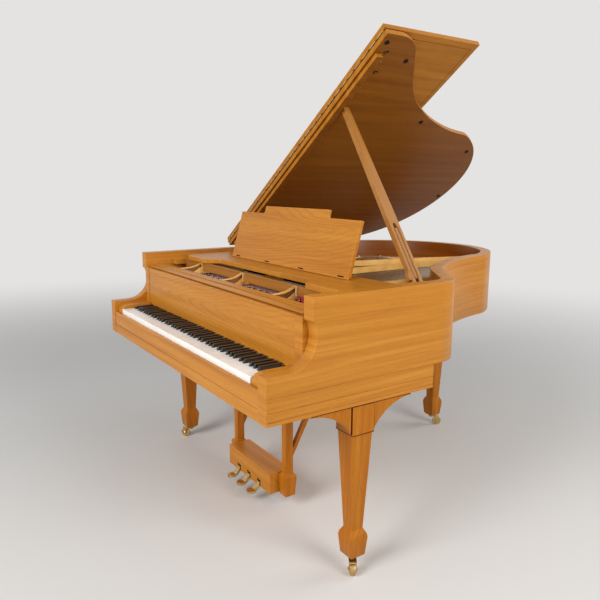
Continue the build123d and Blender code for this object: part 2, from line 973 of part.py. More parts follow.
def make_pedal(index):
    """Brass pedal: a flat rounded toe, a step up, and an arm to the pivot."""
    x = index * pedal_spacing
    thick = pedal_thick
    toe_y = pedal_box_front - pedal_reach
    toe_z = pedal_box_bottom - pedal_drop
    toe_end = toe_y + pedal_toe
    rise_end = pedal_box_front + thick
    tail = pedal_pivot_y + pedal_tail
    arm_low = pedal_pivot_z - thick / 2
    outline = [
        (toe_y, toe_z),
        (toe_end, toe_z),
        (rise_end, arm_low),
        (tail, arm_low),
        (tail, arm_low + thick),
        (rise_end - thick, arm_low + thick),
        (toe_end - thick, toe_z + thick),
        (toe_y, toe_z + thick),
    ]
    lever = side_polygon(outline, x - pedal_toe / 2, x + pedal_toe / 2)
    toe_middle = toe_y + pedal_toe / 2
    high = arm_low + 2 * thick
    toe = Pos(x, toe_middle, 0) * Cylinder(pedal_toe / 2, 2 * high)
    neck = block((x - pedal_neck / 2, x + pedal_neck / 2), (toe_middle, tail), (0, high))
    pedal = lever & (toe + neck)
    side = (x - pedal_toe, pedal_pivot_y, pedal_pivot_z)
    return pedal - prism(side, (1, 0, 0), 2 * pedal_toe, pedal_pin + pin_gap, bore=True)


def make_lyre_braces():
    post_back = lyre_y + lyre_post / 2
    brace_top_y = post_back + brace_reach
    outline = [
        (post_back, brace_foot_z),
        (post_back, brace_foot_z + brace_foot_height),
        (brace_top_y, case_bottom),
        (brace_top_y + brace_top_length, case_bottom),
    ]
    return both_sides(side_polygon(outline, lyre_half - brace_width / 2, lyre_half + brace_width / 2))


def opened(piece):
    """A lid piece, drawn with the lid shut, swung up to the propped angle."""
    return piece.rotate(lid_axis, lid_open)


def make_lid():
    """Lid panel with the batten that stiffens its front edge."""
    panel = raised(case_outline(-lid_overhang, lid_front), lid_under, lid_top)
    panel -= block((-2 * half, -half + seat_gap), (0, 2 * tail_y), (lid_under, lid_top))
    start = batten_bass_gap - half
    end = half - batten_treble_gap
    front = lid_front + batten_width / 3
    batten = block((start, end), (front, front + batten_width), (lid_under - batten_depth, lid_under))
    return [opened(panel), opened(batten)]


def make_flap():
    back = flap_axis_y - flap_leaf
    width = (-half + seat_gap, half + lid_overhang)
    panel = block(width, (back - flap_depth, back), (lid_under, lid_top))
    panel = chamfer(panel.edges().filter_by(Axis.X).group_by(Axis.Y)[0], lid_thick / 8)
    return opened(panel.rotate(flap_axis, 180))


def lid_hinge(y, middle):
    """Knuckles and leaf of one lid hinge: the middle knuckle moves, the outer two stay on the rim."""
    third = lid_hinge_length / 3
    low = y + third + knuckle_gap if middle else y
    spans = [(low, third - 2 * knuckle_gap)] if middle else [(y, third), (y + 2 * third, third)]
    pieces = []
    for start, length in spans:
        knuckle = prism((lid_axis_x, start, lid_axis_z), (0, 1, 0), length, lid_knuckle)
        low_z = lid_under - lid_leaf_thick if middle else rim_top
        leaf = block(
            (lid_axis_x, -half + lid_leaf), (start, start + length), (low_z, low_z + lid_leaf_thick)
        )
        pieces.append(knuckle + leaf)
    return pieces


def make_lid_hinge_leaves():
    return [piece for y in lid_hinge_spots for piece in lid_hinge(y, False)]


def make_lid_brass():
    """Moving hinge leaves, the continuous flap hinge and the two cups for the prop."""
    pieces = [piece for y in lid_hinge_spots for piece in lid_hinge(y, True)]
    edge = half + lid_overhang
    start = -half + seat_gap
    barrel = prism((start, flap_axis_y, flap_axis_z), (1, 0, 0), edge - start, flap_rod)
    leaf = block((start, edge), (flap_axis_y, lid_front), (lid_under, flap_axis_z))
    pieces.append(barrel + leaf)
    for gap, back in zip(cup_treble_gaps, cup_backs):
        foot = (half - gap, lid_front + back, lid_under - cup_depth)
        pieces.append(prism(foot, (0, 0, 1), cup_depth, cup_radius, sides=disc_sides))
    return [opened(piece) for piece in pieces]


def make_lid_bumpers():
    low = rim_top + seat_gap
    edge = Wire(case_walk(bumper_inset, lid_front)[:-2])
    spots = [edge.position_at(place, position_mode=PositionMode.LENGTH) for place in bumper_places]
    return [
        opened(prism((spot.X, spot.Y, low), (0, 0, 1), lid_under - low, bumper_radius, sides=disc_sides))
        for spot in spots
    ]


def prop_head():
    """Middle of the prop's top, on the underside of the open lid."""
    shut = Vector(half - prop_head_in - lid_axis_x, 0, lid_under - lid_axis_z)
    turn = radians(lid_open)
    return Vector(
        lid_axis_x + shut.X * cos(turn) - shut.Z * sin(turn),
        lid_front + prop_head_back,
        lid_axis_z + shut.X * sin(turn) + shut.Z * cos(turn),
    )


prop_line = prop_head() - Vector(*prop_foot)
prop_up = prop_line.normalized()
prop_length = prop_line.length - prop_head_gap
prop_plane = Plane(origin=prop_foot, x_dir=(0, 1, 0), z_dir=prop_up)
fold_way = Vector(-sin(radians(prop_fold_heading)), cos(radians(prop_fold_heading)), 0)
prop_fold_axis = prop_up.cross(fold_way).normalized()
prop_fold_angle = prop_up.get_angle(fold_way)


def prop_slot(width, start, length):
    """Slot or stick with round ends, in the prop's own frame, wider than the prop is thick."""
    radius = width / 2
    body = block((-radius, radius), (-prop_thick, prop_thick), (start + radius, start + length - radius))
    for z in (start + radius, start + length - radius):
        body += rod((0, -prop_thick, z), (0, 1, 0), 2 * prop_thick, radius)
    return body


def make_prop():
    """Tapered stick with a slot for the half stick, on a hub that folds about the bracket's pin."""
    wide = prop_width_foot / 2
    narrow = prop_width_head / 2
    start = prop_pin + prop_hub / 2
    outline = [
        (-wide, start),
        (wide, start),
        (wide, prop_taper_start),
        (narrow, prop_length),
        (-narrow, prop_length),
        (-wide, prop_taper_start),
    ]
    edges = [Line(Vector(a[0], 0, a[1]), Vector(b[0], 0, b[1])) for a, b in closed(outline)]
    stick = Pos(0, -prop_thick / 2, 0) * extrude(Face(Wire(edges)), prop_thick, dir=(0, 1, 0))
    stick -= prop_slot(slot_width, slot_start, slot_length)
    stick += prism((-slot_width / 2, 0, half_pin_height), (1, 0, 0), slot_width, half_pin)
    stick = prop_plane * stick
    middle = Vector(*prop_foot) - prop_fold_axis * (prop_thick / 2)
    hub = rod(middle, prop_fold_axis, prop_thick, prop_pin + prop_hub)
    hole = rod(middle, prop_fold_axis, prop_thick, prop_pin + pin_gap)
    return stick + hub - hole


def make_half_stick():
    wide = slot_width / 2 - slide_gap
    low = half_pin_height - half_tail
    body = block((-wide, wide), (-half_thick / 2, half_thick / 2), (low, low + half_length))
    side = (-slot_width, 0, half_pin_height)
    body -= prism(side, (1, 0, 0), 2 * slot_width, half_pin + pin_gap, bore=True)
    return prop_plane * body


def make_prop_bracket():
    """Plate on the rim's inner face with the pin that carries the prop."""
    out = prop_fold_axis * -1
    start = Vector(*prop_foot) + prop_fold_axis * (prop_thick / 2)
    reach = (inside - seat_gap - bracket_plate - start.X) / out.X
    pin = rod(start, out, reach, prop_pin)
    end = start + out * reach
    size = prop_pin + bracket_plate_edge
    plate = block(
        (inside - seat_gap - bracket_plate, inside - seat_gap),
        (end.Y - size, end.Y + size),
        (end.Z - size, min(end.Z + size, rim_top)),
    )
    return pin + plate


def make_desk_rails():
    top = tray_level - tray_thick - slide_gap
    edge = inside - seat_gap
    ends = (tray_front - desk_rail_front, tray_front + tray_depth + desk_rail_back)
    return both_sides(block((edge - desk_rail_width, edge), ends, (top - desk_rail_depth, top)))


def make_tray():
    """Sliding tray: straight at the middle, with a wing at each end that curves back to the rim."""
    low = tray_level - tray_thick
    tray_back = tray_front + tray_depth
    wing_start = tray_half - wing_width
    reach = tray_front - wing_reach
    bend = tray_half - wing_curve
    middle_x = bend + wing_curve / 2
    edges = []
    for side in (1, -1):
        corners = [
            Vector(side * wing_start, tray_front),
            Vector(side * wing_start, reach),
            Vector(side * bend, reach),
            Vector(side * middle_x, tray_front),
            Vector(side * tray_half, tray_front + wing_reach),
            Vector(side * tray_half, tray_back),
        ]
        edges += [Line(corners[0], corners[1]), Line(corners[1], corners[2])]
        edges.append(Spline(corners[2], corners[3], corners[4], tangents=((side, 0), (side, 0))))
        edges.append(Line(corners[4], corners[5]))
    edges.append(Line(Vector(tray_half, tray_back), Vector(-tray_half, tray_back)))
    edges.append(Line(Vector(-wing_start, tray_front), Vector(wing_start, tray_front)))
    tray = raised(Face(Wire(edges)), low, tray_level)
    pins = []
    for x in desk_pin_spots:
        barrel = prism((x, desk_axis_y, desk_axis_z), (1, 0, 0), desk_pin_length, desk_pin)
        low_y = desk_axis_y - desk_pin / 2
        span = (x, x + desk_pin_length)
        lug = block(span, (low_y, low_y + desk_pin), (tray_level, desk_axis_z))
        pins.append(barrel + lug)
    return tray + pins


desk_plane = Plane(
    origin=(0, desk_axis_y, desk_axis_z),
    x_dir=(1, 0, 0),
    z_dir=(0, sin(radians(desk_lean)), cos(radians(desk_lean))),
)


def make_desk():
    """Leaning desk panel in front of its hinge line, with a raised middle that ends in two coves."""
    foot = desk_pin + seat_gap
    crown = desk_height + desk_crown
    cove = desk_crown_cove
    bulge = cove * (1 - cos(radians(45)))
    edges = [
        Line(Vector(-desk_half, 0, foot), Vector(desk_half, 0, foot)),
        Line(Vector(desk_crown_half, 0, crown), Vector(-desk_crown_half, 0, crown)),
    ]
    for side in (-1, 1):
        edge = side * desk_half
        bend = side * desk_crown_half
        cove_start = Vector(bend + side * cove, 0, desk_height)
        cove_middle = Vector(bend + side * bulge, 0, desk_height + bulge)
        cove_end = Vector(bend, 0, desk_height + cove)
        edges += [
            Line(Vector(edge, 0, foot), Vector(edge, 0, desk_height)),
            Line(Vector(edge, 0, desk_height), cove_start),
            ThreePointArc(cove_start, cove_middle, cove_end),
            Line(cove_end, Vector(bend, 0, crown)),
        ]
    panel = extrude(Face(Wire(edges)), desk_thick, dir=(0, -1, 0))
    return desk_plane * panel


def desk_strut_length():
    """Reach of the strut from its pivot behind the desk to the tray."""
    drop = desk_axis_z - tray_level - seat_gap
    high = desk_strut_up * cos(radians(desk_lean)) - strut_back() * sin(radians(desk_lean)) + drop
    return high / cos(radians(desk_strut_angle - desk_lean)) - desk_strut_thick / 2


def strut_back():
    return desk_strut_thick / 2 + seat_gap


def make_desk_strut():
    """Hinged strut behind the desk, standing on the tray."""
    wide = desk_strut_width
    thick = desk_strut_thick
    length = desk_strut_length()
    body = block((-wide / 2, wide / 2), (-thick / 2, thick / 2), (-length, 0))
    body += prism((-wide / 2, 0, 0), (1, 0, 0), wide, thick / 2)
    return desk_plane * (Pos(0, strut_back(), desk_strut_up) * (Rot(desk_strut_angle, 0, 0) * body))


def main():
    os.makedirs("parts", exist_ok=True)
    room = string_room()
    leg_x = half - leg_side_inset
    spots = ((leg_x, front_leg_y), (-leg_x, front_leg_y), rear_leg_spot)
    nodes = {
        "outer_rim": make_rim(),
        "inner_rim": make_inner_rim(),
        "base_rails": make_base_rails(),
        "key_bed": make_key_bed(),
        "key_slip": make_key_slip(),
        "key_blocks": make_key_blocks(),
        "stretcher": make_stretcher(),
        "back_braces": make_back_braces(),
        "soundboard": make_soundboard(),
        "bridges": make_bridges(),
        "pin_block": make_pin_block(),
        "iron_plate": make_plate(),
        "tuning_pins": make_tuning_pins(),
        "plain_strings": make_plain_strings(room),
        "bass_strings": make_bass_strings(room),
        "dampers": make_dampers(),
        "key_frame": make_key_frame(),
        "hammer_rail": make_hammer_rail(),
        "hammers": make_hammers(),
        "fallboard": make_fallboard(),
        "treble_front_leg": make_leg(spots[0], case_bottom, 1),
        "bass_front_leg": make_leg(spots[1], case_bottom, -1),
        "rear_leg": make_leg(spots[2], rim_bottom),
        "lyre_frame": make_lyre_frame(),
        "pedal_box": make_pedal_box(),
        "lyre_braces": make_lyre_braces(),
        "soft_pedal": make_pedal(-1),
        "sostenuto_pedal": make_pedal(0),
        "sustain_pedal": make_pedal(1),
        "lid": make_lid(),
        "lid_flap": make_flap(),
        "lid_brass": make_lid_brass(),
        "lid_bumpers": make_lid_bumpers(),
        "lid_hinge_leaves": make_lid_hinge_leaves(),
        "prop_stick": make_prop(),
        "half_stick": make_half_stick(),
        "prop_bracket": make_prop_bracket(),
        "desk_rails": make_desk_rails(),
        "desk_tray": make_tray(),
        "music_desk": make_desk(),
        "desk_strut": make_desk_strut(),
    }
    for name, spot, turn in zip(("treble", "bass", "rear"), spots, caster_turns):
        nodes[f"{name}_caster_fork"] = make_fork(spot, turn)
        nodes[f"{name}_caster_wheel"] = make_wheel(spot, turn)
    for key in range(key_count):
        nodes.setdefault(f"keys_{note_name(key)}", []).extend(make_key(key))
    for name, shape in nodes.items():
        pieces = shape if isinstance(shape, list) else [shape]
        solids = [solid for piece in pieces for solid in piece.solids()]
        export_step(Compound(solids), f"parts/{name}.step")
        print(name, len(solids))


main()
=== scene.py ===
# %% [markdown]
# A walnut grand piano with its lid propped open
#
# The solid model gives every wooden, iron and brass piece its true size and place. This lesson dresses that
# model. It gives each piece the surface of its real material, softens the edges that a workshop would ease
# with sandpaper, and adds the small fittings that are too fine for the solids. Sizes are in millimetres and
# angles in degrees, up to where a mesh, a texture or a modifier takes them in metres and radians.

# %% Load the solid model
import json
from math import cos, pi, radians, sin

import bmesh
import bpy
from mathutils import Matrix, Vector


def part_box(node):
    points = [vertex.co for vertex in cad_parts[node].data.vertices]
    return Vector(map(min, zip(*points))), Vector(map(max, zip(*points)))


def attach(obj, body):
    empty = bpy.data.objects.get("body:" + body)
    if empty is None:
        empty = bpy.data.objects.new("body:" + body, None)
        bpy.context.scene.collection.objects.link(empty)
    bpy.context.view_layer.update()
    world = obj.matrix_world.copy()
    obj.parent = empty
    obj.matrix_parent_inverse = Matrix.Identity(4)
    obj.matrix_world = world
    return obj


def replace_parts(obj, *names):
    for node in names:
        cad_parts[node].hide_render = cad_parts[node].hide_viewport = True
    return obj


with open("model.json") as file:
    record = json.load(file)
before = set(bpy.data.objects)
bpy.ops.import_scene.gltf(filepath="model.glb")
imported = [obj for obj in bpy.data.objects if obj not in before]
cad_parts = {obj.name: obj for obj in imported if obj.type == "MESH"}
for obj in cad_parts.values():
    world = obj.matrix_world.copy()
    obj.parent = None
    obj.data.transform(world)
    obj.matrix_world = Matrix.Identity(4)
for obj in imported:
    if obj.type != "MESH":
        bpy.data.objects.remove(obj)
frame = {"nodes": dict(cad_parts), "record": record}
nodes = frame["nodes"]
joints = {joint["name"]: joint for joint in frame["record"]["behaviour"]["joints"]}
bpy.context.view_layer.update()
MM = 0.001
X, Y, Z = Vector((1, 0, 0)), Vector((0, 1, 0)), Vector((0, 0, 1))


def corners(name):
    """Lowest and highest corner of a node."""
    low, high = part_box(name)
    return Vector(low) / MM, Vector(high) / MM


def pivot(name):
    """Point that a joint turns about."""
    return Vector(joints[name]["pos_m"]) / MM


# %% [markdown]
# Colours and nodes
#
# Colours are picked as sRGB hex values, the way a paint card gives them, but the renderer counts light in
# linear steps. One function turns the first into the second. Another adds a shader node with its settings,
# and hands its inputs to a third that sets or links them, so that each material reads as a short recipe.

# %% Colour and node helpers
def linear(code):
    """Linear colour of an sRGB hex value."""
    channels = [int(code[i : i + 2], 16) / 255 for i in (1, 3, 5)]
    return (*[c / 12.92 if c <= 0.04045 else ((c + 0.055) / 1.055) ** 2.4 for c in channels], 1.0)


def feed(tree, node, inputs):
    """Set inputs to values, or link them. A node that is linked gives its first active output."""
    for key, value in inputs.items():
        if isinstance(value, bpy.types.Node):
            value = next(socket for socket in value.outputs if socket.enabled)
        if isinstance(value, bpy.types.NodeSocket):
            tree.links.new(value, node.inputs[key])
        else:
            node.inputs[key].default_value = value


def add(tree, kind, inputs=None, stops=(), **settings):
    """Add a shader node with its settings and links. stops are a colour ramp's places and hex colours."""
    node = tree.nodes.new("ShaderNode" + kind)
    for key, value in settings.items():
        setattr(node, key, value)
    feed(tree, node, inputs or {})
    marks = node.color_ramp.elements if stops else ()
    while len(marks) < len(stops):
        marks.new(0.5)
    for mark, (place, code) in zip(marks, stops):
        mark.position = place
        mark.color = linear(code)
    return node


def new_material(name):
    """Material with its node tree and its shader."""
    material = bpy.data.materials.new(name)
    material.use_nodes = True
    return material, material.node_tree, material.node_tree.nodes["Principled BSDF"]


print("helpers ready")

# %% [markdown]
# Walnut veneer under satin lacquer
#
# The case is veneered in bleached walnut, a honey brown with fine straight grain, and the desk and the
# fallboard are cut so that their growth rings close into long arches. The figure could be painted as an
# image, but a trunk can be described in one line: its rings are cones round the heart, and a board sawn at
# some distance from the heart cuts them in arches. So the shader measures how far each point lies from the
# heart, takes off a little for the trunk's taper and counts rings. Slow sway keeps the lines from being
# ruled. Lacquer gives a soft broad highlight, so roughness is about 0.35, and the pores are duller. Real
# pores are 0.2 mm wide, which is too fine to show here, so they are drawn about 1.2 mm wide.

# %% Grain and rings of a board
SLOW_ALONG = 0.035  # how much slower the figure changes along the grain than across it
LATE_WOOD = (0.45, 0.97)  # share of a ring over which it darkens


def board_place(tree, along, across):
    """Distances along and across a board, and a place that changes slowly along its grain."""
    place = add(tree, "TexCoord").outputs["Object"]
    along, across = Vector(along).normalized(), Vector(across).normalized()
    length, width, depth = [
        add(tree, "VectorMath", {0: place, 1: way}, operation="DOT_PRODUCT")
        for way in (along, across, along.cross(across))
    ]
    short, thin = [add(tree, "Math", {0: v, 1: SLOW_ALONG}, operation="MULTIPLY") for v in (length, depth)]
    return length, width, add(tree, "CombineXYZ", {"X": short, "Y": thin, "Z": width})


def late_wood(tree, length, from_heart, ring, bury, taper):
    """Rises to 1 at the dark end of each ring, counted outwards from a heart buried under the face."""
    arm = add(tree, "CombineXYZ", {"X": from_heart, "Y": bury * MM})
    reach = add(tree, "VectorMath", {0: arm}, operation="LENGTH")
    risen = add(tree, "Math", {0: length, 1: -taper, 2: reach}, operation="MULTIPLY_ADD")
    count = add(tree, "Math", {0: risen, 1: ring * MM}, operation="DIVIDE")
    share = {"Value": add(tree, "Math", {0: count}, operation="FRACT")}
    share["From Min"], share["From Max"] = LATE_WOOD
    return add(tree, "MapRange", share, interpolation_type="SMOOTHSTEP")


print("grain and rings ready")

# %% Walnut
ROUNDER = (7, 7, 1)  # takes most of the grain's stretch away again, for the slow waves of the rings
MOST_PORES = 0.3
PORE_DEPTH = 0.2


def walnut(
    name, along, across, tones, ring, heart=0, bury=400, taper=0.012,
    sway=30, wave=6, figure=0.25, gloss=0.24, painted_shade=None,
):
    """Board with its grain along one direction, and rings of one width about a heart at one place across.

    bury is the heart's depth under the face, and taper the rise of the rings along the trunk. sway and wave
    are how far the lines stray, and figure is how strongly they show. The last argument is a function that
    masks a part of the piece, with the colour of the painted shade that darkens it there.
    """
    material, tree, shader = new_material(name)
    length, width, run = board_place(tree, along, across)
    wide = add(tree, "VectorMath", {0: run, 1: ROUNDER}, operation="MULTIPLY")

    # Clouds of noise: the place that they read, their size and detail, the range taken and the range given.
    clouds = {
        "sway": (run, 110, 2.5, (0.0, 1.0), ((-heart - sway) * MM, (-heart + sway) * MM)),
        "wave": (wide, 150, 1.2, (0.25, 0.75), (-wave * MM, wave * MM)),
        "patch": (run, 60, 2.0, (0.32, 0.62), (figure * 0.4, figure)),
        "tone": (run, 22, 6.0, (0.2, 0.8), (0.0, 1.0)),
        "pores": (run, 1.2, 2.0, (0.55, 0.75), (0.0, MOST_PORES)),
    }
    drift = {}
    for part, (over, size, detail, (low, high), (start, end)) in clouds.items():
        cloud = add(tree, "TexNoise", {"Vector": over, "Scale": 1 / (size * MM), "Detail": detail})
        spread = {"Value": cloud, "From Min": low, "From Max": high, "To Min": start, "To Max": end}
        drift[part] = add(tree, "MapRange", spread)

    swayed = add(tree, "Math", {0: width, 1: drift["sway"]}, operation="ADD")
    waved = add(tree, "Math", {0: swayed, 1: drift["wave"]}, operation="ADD")
    late = late_wood(tree, length, waved, ring, bury, taper)
    line = add(tree, "Math", {0: late, 1: drift["patch"]}, operation="MULTIPLY")

    colour = add(tree, "ValToRGB", {"Fac": drift["tone"]}, list(zip((0.0, 0.5, 1.0), tones)))
    for part, code in ((line, tones[3]), (drift["pores"], tones[4])):
        colour = add(tree, "Mix", {"Factor": part, "A": colour, "B": linear(code)}, data_type="RGBA")
    # Painted shade: the faces that the mask picks are multiplied by a darker colour.
    if painted_shade:
        mask, code = painted_shade
        darker = {"Factor": mask(tree), "A": colour, "B": linear(code)}
        colour = add(tree, "Mix", darker, data_type="RGBA", blend_type="MULTIPLY")
    dull = {"Value": drift["pores"], "From Max": MOST_PORES, "To Min": 0.34, "To Max": 0.5}
    dent = {"Height": drift["pores"], "Strength": 0.15, "Distance": PORE_DEPTH * MM}
    lacquer = {"IOR": 1.5, "Specular IOR Level": gloss, "Coat Weight": gloss * 0.2, "Coat Roughness": 0.25}
    feed(tree, shader, {"Base Color": colour, "Roughness": add(tree, "MapRange", dull), **lacquer})
    feed(tree, shader, {"Normal": add(tree, "Bump", dent, invert=True)})
    return material


print("walnut recipe ready")

# %% [markdown]
# Painted shade on two faces
#
# Two faces of the case are painted darker, as shade: the underside of the lid, and the rim's wall inside the
# case. Each could be a piece of its own, but on the real object it is one board of one tone. So a mask finds
# the face from the direction that it looks in, and the walnut is multiplied by a darker colour there as
# painted shade.

# %% Masks for the painted shade
LID_OPEN = 34.3
LID_DOWN = Vector((sin(radians(LID_OPEN)), 0, -cos(radians(LID_OPEN))))
UNDER_FROM, UNDER_FULL = 0.6, 0.9  # cosine of the angle between a face and the lid's underside
CASE_MIDDLE = Vector((-50, 1000, 985))
WALL_FROM, WALL_FULL = -20, -100  # how far a face looks back towards the middle
FADE_FRONT, FADE_BACK = 350, 900


# Mask for the painted shade under the open lid.
def underside(tree):
    """1 on the faces that look down from the open lid."""
    normal = add(tree, "TexCoord").outputs["Normal"]
    facing = add(tree, "VectorMath", {0: normal, 1: LID_DOWN}, operation="DOT_PRODUCT")
    return add(tree, "MapRange", {"Value": facing, "From Min": UNDER_FROM, "From Max": UNDER_FULL})


# Mask for the painted shade on the rim's wall inside the case.
def inner_wall(tree):
    """1 on the faces that look at the middle of the case, fading out towards the keyboard."""
    where = add(tree, "TexCoord").outputs
    outward = add(tree, "VectorMath", {0: where["Object"], 1: CASE_MIDDLE * MM}, operation="SUBTRACT")
    facing = add(tree, "VectorMath", {0: where["Normal"], 1: outward}, operation="DOT_PRODUCT")
    turn = {"Value": facing, "From Min": WALL_FROM * MM, "From Max": WALL_FULL * MM}
    back = add(tree, "VectorMath", {0: where["Object"], 1: Y}, operation="DOT_PRODUCT")
    fade = {"Value": back, "From Min": FADE_FRONT * MM, "From Max": FADE_BACK * MM}
    inward, behind = add(tree, "MapRange", turn), add(tree, "MapRange", fade)
    return add(tree, "Math", {0: inward, 1: behind}, operation="MULTIPLY")


print("masks ready")

# %% [markdown]
# The walnut of each piece
#
# The cut is picked for each piece: quiet lines round the rim, straight lines on rails, and arches on the
# boards behind the keys. Each piece could have a recipe of its own, but they differ only in direction, ring
# width and tone, so each finish is one call of the same recipe.

# %% Walnut finishes
# Ground from dark to light, then the late wood of a ring and the pores.
HONEY = ("#b06d18", "#bf7b23", "#cc8a31", "#8c5114", "#6b3d12")
# A little darker than HONEY, in part as painted shade on the lid and the flap.
RUSSET = ("#a16316", "#af7020", "#bc7e2d", "#814a12", "#623710")
AMBER = ("#a35c0c", "#b16912", "#be771c", "#844809", "#663708")
PALE = ("#966027", "#a56e30", "#b47d3d", "#7c4d1f", "#603b17")
PROP_LEAN = (-0.5495, 0.0393, 0.8346)
RIM_CUT = dict(along=(1, 1, 0), across=Z, tones=HONEY, ring=17, taper=0.03, sway=34, wave=8, figure=0.2)
LID_CUT = dict(along=Y, across=X, tones=RUSSET, ring=29, taper=0.01, sway=40, wave=8, gloss=0.12)
RAIL_CUT = dict(along=X, across=(0, 1, 1), ring=23, taper=0.01, figure=0.3)
ARCHED_CUT = dict(across=Z, tones=HONEY, ring=14, taper=0.12, sway=24, figure=0.32)

# Honey brown with quiet level lines, as veneer shows round a bent rim.
rim_walnut = walnut("walnut_rim_veneer", **RIM_CUT)
# The same veneer, with painted shade darkening the wall inside the case.
rim_walnut_painted_shade = walnut("walnut_rim_painted_shade_inside", **RIM_CUT, painted_shade=(inner_wall, "#bfa598"))
# Redder and less glossy, with long straight lines. The tone is darker in part as painted shade,
# and painted shade darkens the underside.
lid_walnut = walnut("walnut_lid_veneer", **LID_CUT, painted_shade=(underside, "#c6b9a1"))
# The lid's sheet of veneer goes on over the flap, which has one tone on both sides.
flap_walnut = walnut("walnut_flap_veneer", **LID_CUT)
# Straight lines from end to end, as on any sawn rail.
rail_walnut = walnut("walnut_straight_rails", tones=HONEY, **RAIL_CUT)
# Straight lines on a flat board that catches the light from above.
tray_walnut = walnut("walnut_tray", X, Y, HONEY, 26, taper=0.01, figure=0.3)
# Long arches that close towards one end, the showpiece behind the keys.
fall_walnut = walnut("walnut_arched_fallboard", X, heart=842, bury=20, wave=34, **ARCHED_CUT)
# The same arches, turned to close towards the other end.
desk_walnut = walnut("walnut_arched_desk", -X, heart=1128, bury=18, wave=36, **ARCHED_CUT)
# Deeper amber with upright lines, duller because it stands in the shade of the case.
leg_walnut = walnut(
    "walnut_leg_veneer", Z, (1, 0.6, 0), AMBER, 15, bury=60, taper=0.06, sway=14, figure=0.35, gloss=0.15
)
# Greyer and finer, a plain stick whose lacquer is worn by hands.
prop_walnut = walnut("walnut_prop_grain", PROP_LEAN, Y, PALE, 9, taper=0.01, figure=0.25)
# The same grey brown, nearly matt, as painted shade on a rail that stands deep in the case.
shaded_rail_walnut = walnut("walnut_inner_rail_painted_shade", tones=PALE, gloss=0.12, **RAIL_CUT)
print("walnut finishes:", [m.name for m in bpy.data.materials if m.name.startswith("walnut_")])

# %% [markdown]
# The other woods
#
# The inside of a piano is working timber: beech in the rim and frames, maple in the bridges and pin block,
# and spruce in the soundboard, with straight grain a few millimetres wide. They could have growth rings
# like the walnut, but little of them shows and each is a plain oiled or varnished wood. So one recipe of
# stretched noise serves, with a colour range for each.

# %% Working timbers
def plain_wood(name, along, line_width, low, high, rough, gloss=0.4):
    """along is small in the directions that the grain runs in, and line_width is that of one line."""
    material, tree, shader = new_material(name)
    place = add(tree, "TexCoord").outputs["Object"]
    run = add(tree, "VectorMath", {0: place, 1: along}, operation="MULTIPLY")
    lines = add(tree, "TexNoise", {"Vector": run, "Scale": 1 / (line_width * MM), "Detail": 3.0})
    colour = add(tree, "ValToRGB", {"Fac": lines}, [(0.3, low), (0.7, high)])
    worn = add(tree, "MapRange", {"Value": lines, "To Min": rough, "To Max": rough + 0.12})
    bump = add(tree, "Bump", {"Height": lines, "Strength": 0.08, "Distance": 0.2 * MM})
    feed(tree, shader, {"Base Color": colour, "Roughness": worn, "Normal": bump})
    feed(tree, shader, {"Specular IOR Level": gloss})
    return material


# Pale tan and close, a hard wood rubbed with oil.
beech = plain_wood("beech_oiled", (0.08, 0.08, 1.0), 5, "#b98a52", "#d9b17a", 0.45)
# Warm yellow with fine straight lines under a thin gloss.
spruce = plain_wood("spruce_varnished", (0.9, 0.12, 1.0), 4, "#c9924e", "#e3b878", 0.35)
# Even light brown, with hardly a line.
maple = plain_wood("maple_varnished", (0.1, 0.6, 1.0), 4, "#b98850", "#d6ac76", 0.35)
# Black with a faint brown grain that shows through the dye.
ebonised = plain_wood("wood_ebonised", (1.0, 1.0, 0.1), 3, "#120f0d", "#221c18", 0.35)
# Dark and matt: painted shade for the bottom of a groove, a slot or a joint.
groove_shade = plain_wood("walnut_groove_shade", (0.1, 0.1, 0.1), 4, "#2e1308", "#451d0a", 0.6, 0.05)
print("timbers:", [m.name for m in (beech, spruce, maple, ebonised, groove_shade)])

# %% [markdown]
# Metals
#
# Polished brass on the hinges, pedals and casters is bright with a faint cloud of hand marks. The iron plate
# is cast in sand and sprayed with gold bronze, so it keeps a fine pebble under a dull metallic coat. Strings
# are drawn steel, and the bass strings are wound in copper. One even colour for each would be quicker, but
# the eye knows metal by its uneven shine. So colour and roughness drift together, and a metal keeps the
# default refractive index.

# %% Brass, bronzed iron, steel and copper
def clouded(name, low, high, haze, cloud, detail, pebble, depth, sockets):
    """Two tones and a haze that drift over clouds of one size, with a bump of pebbles of another."""
    material, tree, shader = new_material(name)
    place = add(tree, "TexCoord").outputs["Object"]
    marks = add(tree, "TexNoise", {"Vector": place, "Scale": 1 / (cloud * MM), "Detail": detail})
    colour = add(tree, "ValToRGB", {"Fac": marks}, [(0.3, low), (0.7, high)])
    rough = add(tree, "MapRange", {"Value": marks, "To Min": haze[0], "To Max": haze[1]})
    grit = add(tree, "TexNoise", {"Vector": place, "Scale": 1 / (pebble * MM), "Detail": 2.0})
    bump = add(tree, "Bump", {"Height": grit, "Strength": depth, "Distance": 0.3 * MM})
    feed(tree, shader, {"Base Color": colour, "Roughness": rough, "Normal": bump, **sockets})
    return material


def metal(name, low, high, rough, cloud, pebble, depth, metallic=1.0):
    """The haze drifts about the roughness, and widely, as hand marks do."""
    haze = (rough * 0.7, rough * 1.4)
    return clouded(name, low, high, haze, cloud, 4.0, pebble, depth, {"Metallic": metallic})


# Warm and bright, clouded where hands have been.
brass = metal("brass_polished", "#b48d52", "#d9bd86", 0.3, 18, 6, 0.03)
# Brown with a last dull shine, brass that is never polished.
tarnished = metal("brass_tarnished", "#4a3719", "#75582c", 0.35, 9, 4, 0.05)
# Light gold with a sandy skin, closer to paint than to metal.
bronze = metal("iron_cast_gold_bronzed", "#f0b457", "#fbcb78", 0.42, 60, 2, 0.25, metallic=0.15)
